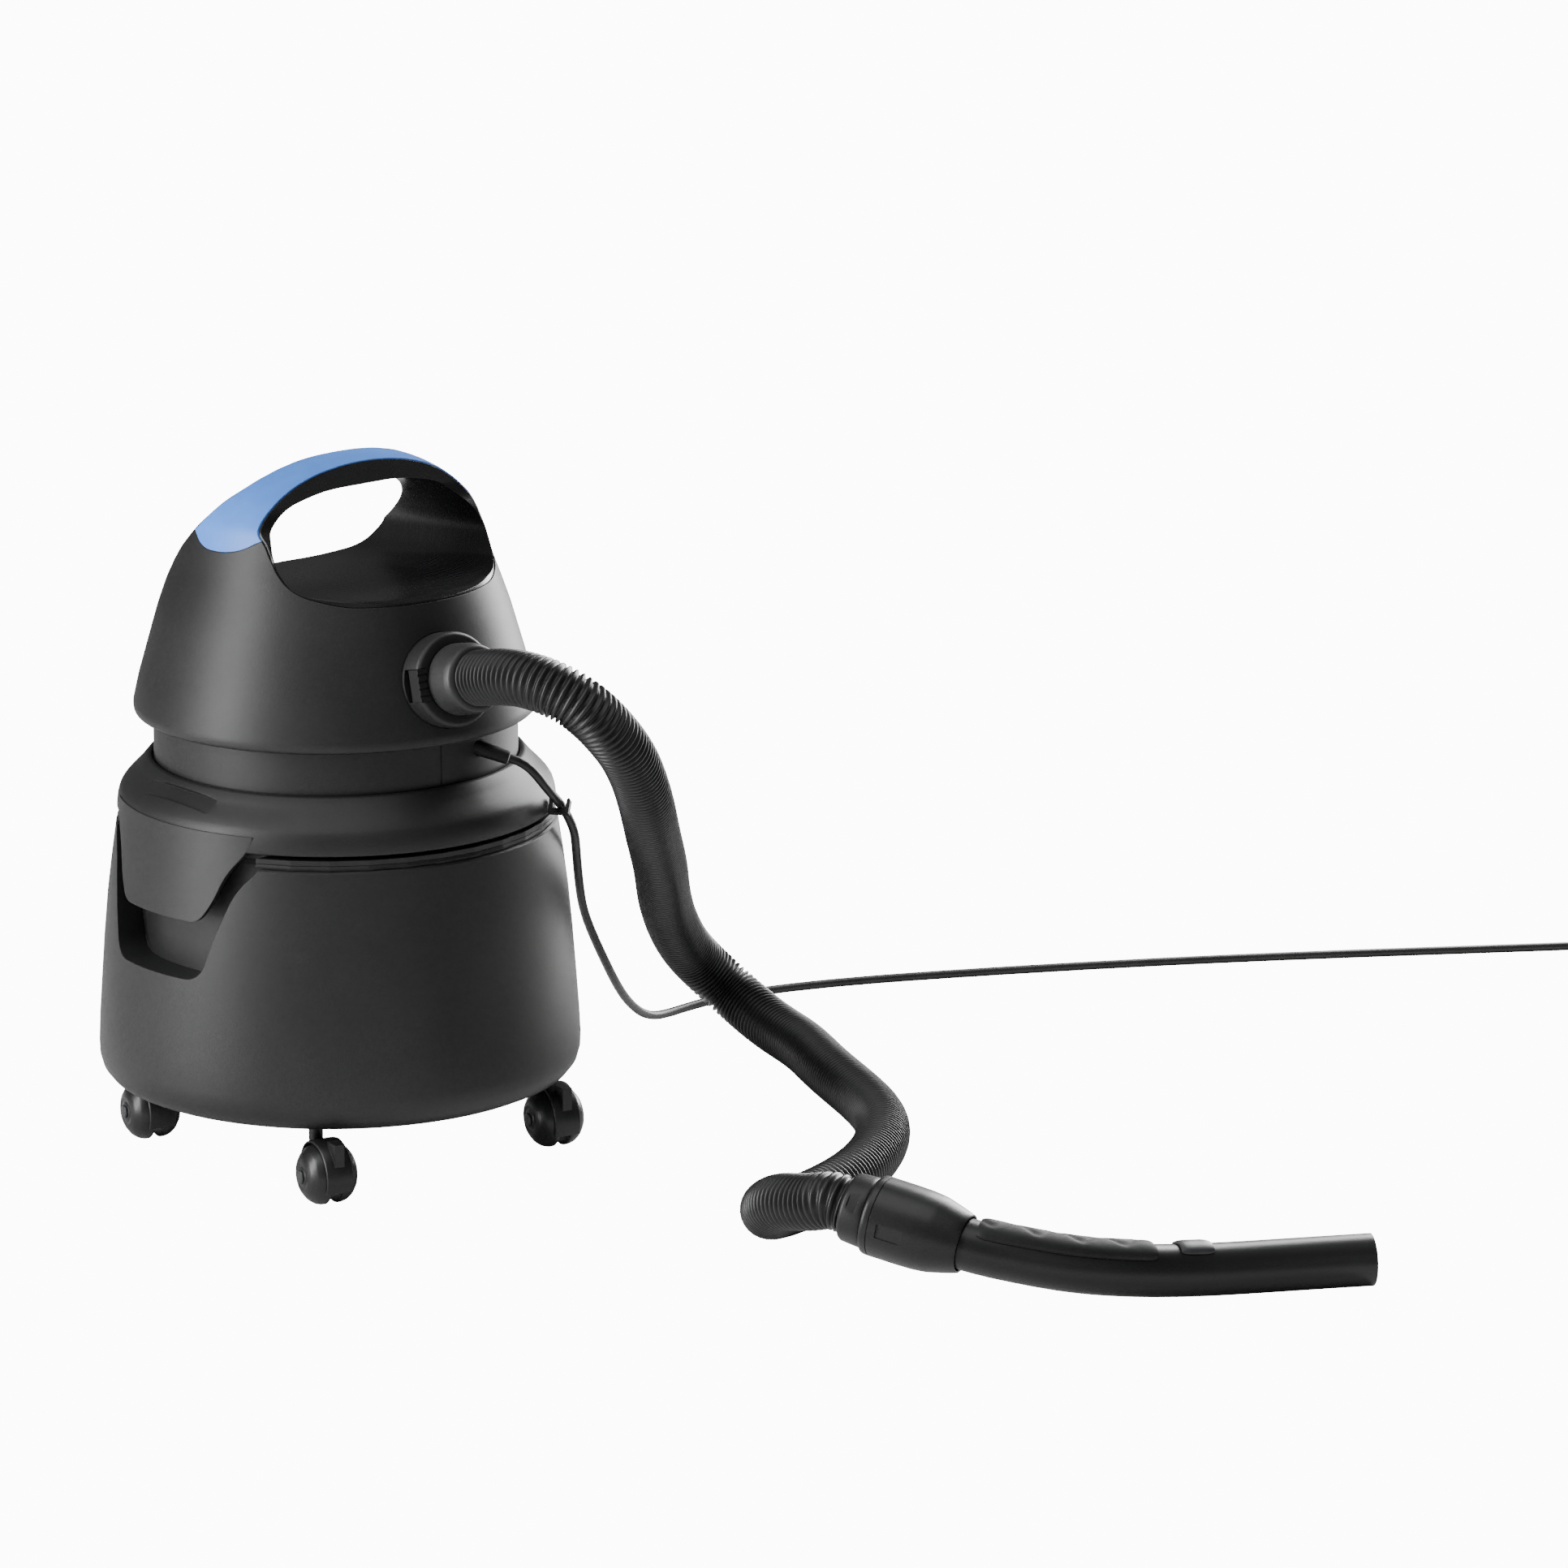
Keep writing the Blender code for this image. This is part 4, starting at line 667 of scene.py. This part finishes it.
def build_castor(name, angle):
    stem = polar(angle, 0.144, 0)
    heading = Vector((math.sin(math.radians(-13.5)), -math.cos(math.radians(-13.5)), 0))
    place = frame_along(stem + heading * 0.017 + Vector((0, 0, 0.0215)), Vector((0, 0, 1)).cross(heading))
    hood = turned("hood", [
        (0.0, 0.0035), (0.0225, 0.0035), (0.0225, 0.0100), (0.0231, 0.0100), (0.0238, 0.0095),
        (0.0243, 0.0080), (0.0243, -0.0080), (0.0238, -0.0095), (0.0231, -0.0100), (0.0225, -0.0100),
        (0.0225, -0.0035), (0.0, -0.0035)], 72, False, place)
    cut(hood, box("below", (-0.03, -0.03, -0.02), (0.03, -0.0085, 0.02), place))
    post = rod("post", 0.0050, 0.0408, 0.0670, 32, Matrix.Translation(stem))
    web = box("web", (-0.0225, 0.0100, -0.0036), (-0.0100, 0.0262, 0.0036), place)
    combine(hood, "UNION", web, post)
    cut(hood, rod("tunnel", 0.0032, -0.03, 0.03, 32, place))
    show(hood, f"castor_{name}_hood", TRIM_PLASTIC)
    wheel = softened([
        (0.0033, 0.0195), (0.0060, 0.0194), (0.0072, 0.0186), (0.0085, 0.0186), (0.0100, 0.0190),
        (0.0140, 0.0172), (0.0180, 0.0140), (0.0204, 0.0104), (0.0213, 0.0070), (0.0213, 0.0042),
        (0.0033, 0.0042)], 1, True, 0.002)
    for label, turn in (("outer", 0), ("inner", math.pi)):
        show(turned("wheel", wheel, 72, True, place @ Matrix.Rotation(turn, 4, "Y")),
             f"castor_{name}_wheel_{label}", WHEEL_PLASTIC, sharp=45)
    axle = turned("axle", [
        (0.0, 0.0217), (0.0028, 0.0215), (0.0044, 0.0209), (0.0050, 0.0200), (0.0029, 0.0200),
        (0.0029, -0.0200), (0.0050, -0.0200), (0.0044, -0.0209), (0.0028, -0.0215), (0.0, -0.0217)],
        32, False, place)
    show(axle, f"castor_{name}_axle", GREY_PLASTIC)


# ---- collar and neck ---------------------------------------------------------------------------------
def flap_outline():
    corners = [(0.078, 0.2620), (0.073, 0.2465), (0.060, 0.2300), (0.051, 0.2080), (0.041, 0.1935)]
    return rounded_outline(corners + [(-y, z) for y, z in reversed(corners)], 0.012)


def build_collar():
    section = softened([
        (0.1325, 0.2835), (0.1390, 0.2755), (0.1470, 0.2675), (0.1515, 0.2622), (0.1537, 0.2560),
        (0.1547, 0.2465), (0.1517, 0.2465), (0.1505, 0.2555), (0.1440, 0.2640),
        (0.1290, 0.2780), (0.1290, 0.2835)], 2, True, 0.006)
    collar = turned("collar", section, 192, True)
    for sign in (-1, 1):
        flap = turned("flap", [
            (0.1537, 0.2580), (0.1547, 0.2465), (0.1578, 0.2189), (0.1612, 0.1915),
            (0.1584, 0.1915), (0.1550, 0.2189), (0.1519, 0.2465), (0.1507, 0.2580)], 192, True)
        combine(flap, "INTERSECT", side_prism(flap_outline(), sign))
        combine(collar, "UNION", flap)
        lean = Matrix.Translation((sign * 0.1395, 0, 0.2752)) @ Matrix.Rotation(
            sign * math.radians(42), 4, "Y")
        cut(collar, box("slot", (-0.0060, -0.0370, -0.0035), (0.0060, 0.0370, 0.0200), lean))
    show(collar, "locking_collar", BODY_PLASTIC)
    neck = ring("neck", 0.1245, 0.1280, 0.2438, 0.3145, 192)
    for azimuth in (-3.5, 176.5):
        groove = frame_along(polar(math.radians(azimuth), 0.1282, 0.28), polar(math.radians(azimuth), 1, 0))
        cut(neck, box("seam", (-0.0005, -0.05, -0.0010), (0.0005, 0.05, 0.01), groove))
    cut(neck, rod("gland_hole", 0.0059, -0.02, 0.02, 32, GLAND))
    show(neck, "neck_band", NECK_PLASTIC)


# ---- dome, handle well and handle cover --------------------------------------------------------------
DOME = softened([
    (0.0, 0.4985), (0.0180, 0.4981), (0.0340, 0.4965), (0.0520, 0.4925), (0.0670, 0.4870),
    (0.0790, 0.4803), (0.0880, 0.4734), (0.0955, 0.4664), (0.1015, 0.4595), (0.1045, 0.4500),
    (0.1080, 0.4386), (0.1110, 0.4246), (0.1175, 0.4070),
    (0.1235, 0.3900), (0.1318, 0.3610), (0.1378, 0.3400), (0.1419, 0.3215), (0.1412, 0.3165),
    (0.1385, 0.3148), (0.0, 0.3148)], 2, False, 0.012)


def inset(distance):
    return [(max(0.0, r - distance), z - distance if z > 0.415 else z) for r, z in DOME]


def opening(lining=0.0, shrink=0.0):
    """The space in front of, behind and under the handle, less a lining or a gap on its walls."""
    d = lining + shrink
    front = [(-0.0320, 0.520), (-0.0330, 0.4950), (-0.0340, 0.4664), (-0.0365, 0.4585),
             (-0.0437, 0.4525), (-0.0530, 0.4386), (-0.0670, 0.4246), (-0.0850, 0.4175),
             (-0.1070, 0.4120), (-0.1800, 0.4090)]
    behind = [(-0.0045, 0.520), (-0.0040, 0.4930), (0.0017, 0.4803), (0.0085, 0.4734),
              (0.0180, 0.4595), (0.0260, 0.4525), (0.0420, 0.4386), (0.0600, 0.4246),
              (0.0750, 0.4140), (0.1000, 0.4030), (0.1800, 0.3980)]
    front = [(y - d, z + d * 0.8 * (z < 0.49)) for y, z in front]
    behind = [(y + d, z + d * 0.8 * (z < 0.49)) for y, z in behind]
    front = softened(front, 2, False, 0.05) + [(-0.1800 - d, 0.520)]
    behind = [(0.1800 + d, 0.520)] + softened(behind, 2, False, 0.05)[::-1]
    wall = 0.0012 - lining
    floor = 0.4035 - (0.0040 if lining == 0 else 0.0)
    half = [(0.0340, 0.4765 + wall), (0.0680, 0.4690 + wall), (0.0880 + wall, 0.4520),
            (0.0935 + wall, 0.4340), (0.0880 + wall, 0.4130), (0.0660, floor + 0.0030), (0.0270, floor)]
    hole = rounded_outline(half + [(-x, z) for x, z in reversed(half)], 0.018)
    if shrink:
        hole = [(x - math.copysign(shrink, x), z + (shrink if z < 0.44 else -shrink)) for x, z in hole]
    about = Matrix.Translation((0, 0, 0.44))
    slope = about @ Matrix.Rotation(-math.radians(6.0), 4, "X") @ about.inverted()
    return [prism("front", front, -0.18, 0.18, YZ), prism("behind", behind, -0.18, 0.18, YZ),
            prism("hole", hole, -0.19, 0.19, slope @ XZ)]


def cover_room(drop):
    """All that lies above the handle cover's lower edge."""
    edge = [(-0.1300, 0.4585), (-0.0470, 0.4575), (-0.0390, 0.4535), (-0.0280, 0.4470),
            (-0.0130, 0.4436), (0.0050, 0.4432), (0.0150, 0.4458), (0.0230, 0.4505),
            (0.0300, 0.4545), (0.1300, 0.4560)]
    edge = softened([(y, z - drop) for y, z in edge], 2, False, 0.02)
    return prism("room", edge + [(0.1300, 0.520), (-0.1300, 0.520)], -0.14, 0.14, YZ)


def build_dome():
    housing = turned("housing", DOME, 192)
    cut(housing, turned("cavity", [
        (0.0, 0.3830), (0.1219, 0.3830), (0.1286, 0.3610), (0.1346, 0.3400), (0.1386, 0.3215),
        (0.1386, 0.3128), (0.0, 0.3128)], 96))
    cut(housing, *opening())
    cut(housing, cut(cover_room(GAP), turned("core", inset(0.0033), 192)))
    cut(housing, rod("socket_hole", 0.0333, -0.05, 0.05, 96, SOCKET),
        rod("inlet_hole", 0.0303, -0.05, 0.05, 96, INLET),
        box("switch_hole", (-0.0133, -0.0183, -0.03), (0.0133, 0.0183, 0.03), SWITCH))
    show(housing, "head_housing", BODY_PLASTIC)

    liner = turned("liner", inset(0.0006), 192)
    zone = opening(shrink=GAP)
    combine(zone[0], "UNION", zone[1], zone[2])
    combine(liner, "INTERSECT", zone[0])
    cut(liner, *opening(0.0012))
    cut(liner, rod("inlet_hole", 0.0303, -0.05, 0.05, 96, INLET))
    show(liner, "handle_well", LINER_PLASTIC)

    cover = turned("cover", DOME, 192)
    combine(cover, "INTERSECT", cover_room(0.0))
    cut(cover, turned("inside", inset(0.0030), 192), *opening())
    show(cover, "handle_cover", BLUE_PLASTIC)


def build_socket():
    socket = turned("socket", softened([
        (0.0215, 0.0140), (0.0310, 0.0140), (0.0330, 0.0118),
        (0.0330, -0.0120), (0.0260, -0.0220), (0.0215, -0.0220)], 2, True, 0.004), 96, True, SOCKET)
    cut(socket, box("bay", (-0.0400, -0.0115, -0.0020), (-0.0243, 0.0115, 0.0200), SOCKET))
    show(socket, "hose_socket", BODY_PLASTIC)
    button = box("button", (-0.0322, -0.0112, 0.0040), (-0.0250, 0.0112, 0.0150), SOCKET)
    for i in range(4):
        y = -0.0072 + 0.0048 * i
        cut(button, box("groove", (-0.0400, y - 0.0009, 0.0142), (-0.0200, y + 0.0009, 0.0200), SOCKET))
    show(button, "socket_button", TRIM_PLASTIC)
    cuff = turned("cuff", softened([
        (0.0165, 0.0395), (0.0205, 0.0395), (0.0232, 0.0380), (0.0245, 0.0330),
        (0.0248, 0.0200), (0.0248, 0.0146), (0.0212, 0.0146), (0.0212, -0.0150), (0.0165, -0.0150)],
        2, True, 0.004), 96, True, SOCKET)
    show(cuff, "hose_cuff", CUFF_PLASTIC)


build_tank()
for castor_name, castor_angle in CASTORS:
    build_castor(castor_name, math.radians(castor_angle))
build_collar()
build_dome()
build_socket()


# ---- floor ----------------------------------------------------------------------------------------
floor_mesh = bpy.data.meshes.new("studio_floor")
floor_mesh.from_pydata([(-60, -60, -0.0002), (60, -60, -0.0002), (60, 60, -0.0002), (-60, 60, -0.0002)],
                       [], [(0, 1, 2, 3)])
floor = bpy.data.objects.new("studio_floor", floor_mesh)
bpy.context.scene.collection.objects.link(floor)
paper = bpy.data.materials.new("pale_paper")
paper.use_nodes = True
tree = paper.node_tree
paper_shader = tree.nodes["Principled BSDF"]
paper_shader.inputs["Base Color"].default_value = (0.86, 0.86, 0.86, 1)
paper_shader.inputs["Roughness"].default_value = 0.9
glow = tree.nodes.new("ShaderNodeEmission")
glow.inputs["Color"].default_value = (1, 1, 1, 1)
glow.inputs["Strength"].default_value = 12.0
path_kind = tree.nodes.new("ShaderNodeLightPath")
share = tree.nodes.new("ShaderNodeMath")
share.operation = "MULTIPLY"
share.inputs[1].default_value = 1.0
blend = tree.nodes.new("ShaderNodeMixShader")
tree.links.new(path_kind.outputs["Is Camera Ray"], share.inputs[0])
tree.links.new(share.outputs[0], blend.inputs[0])
tree.links.new(paper_shader.outputs[0], blend.inputs[1])
tree.links.new(glow.outputs[0], blend.inputs[2])
tree.links.new(blend.outputs[0], tree.nodes["Material Output"].inputs["Surface"])
floor_mesh.materials.append(paper)
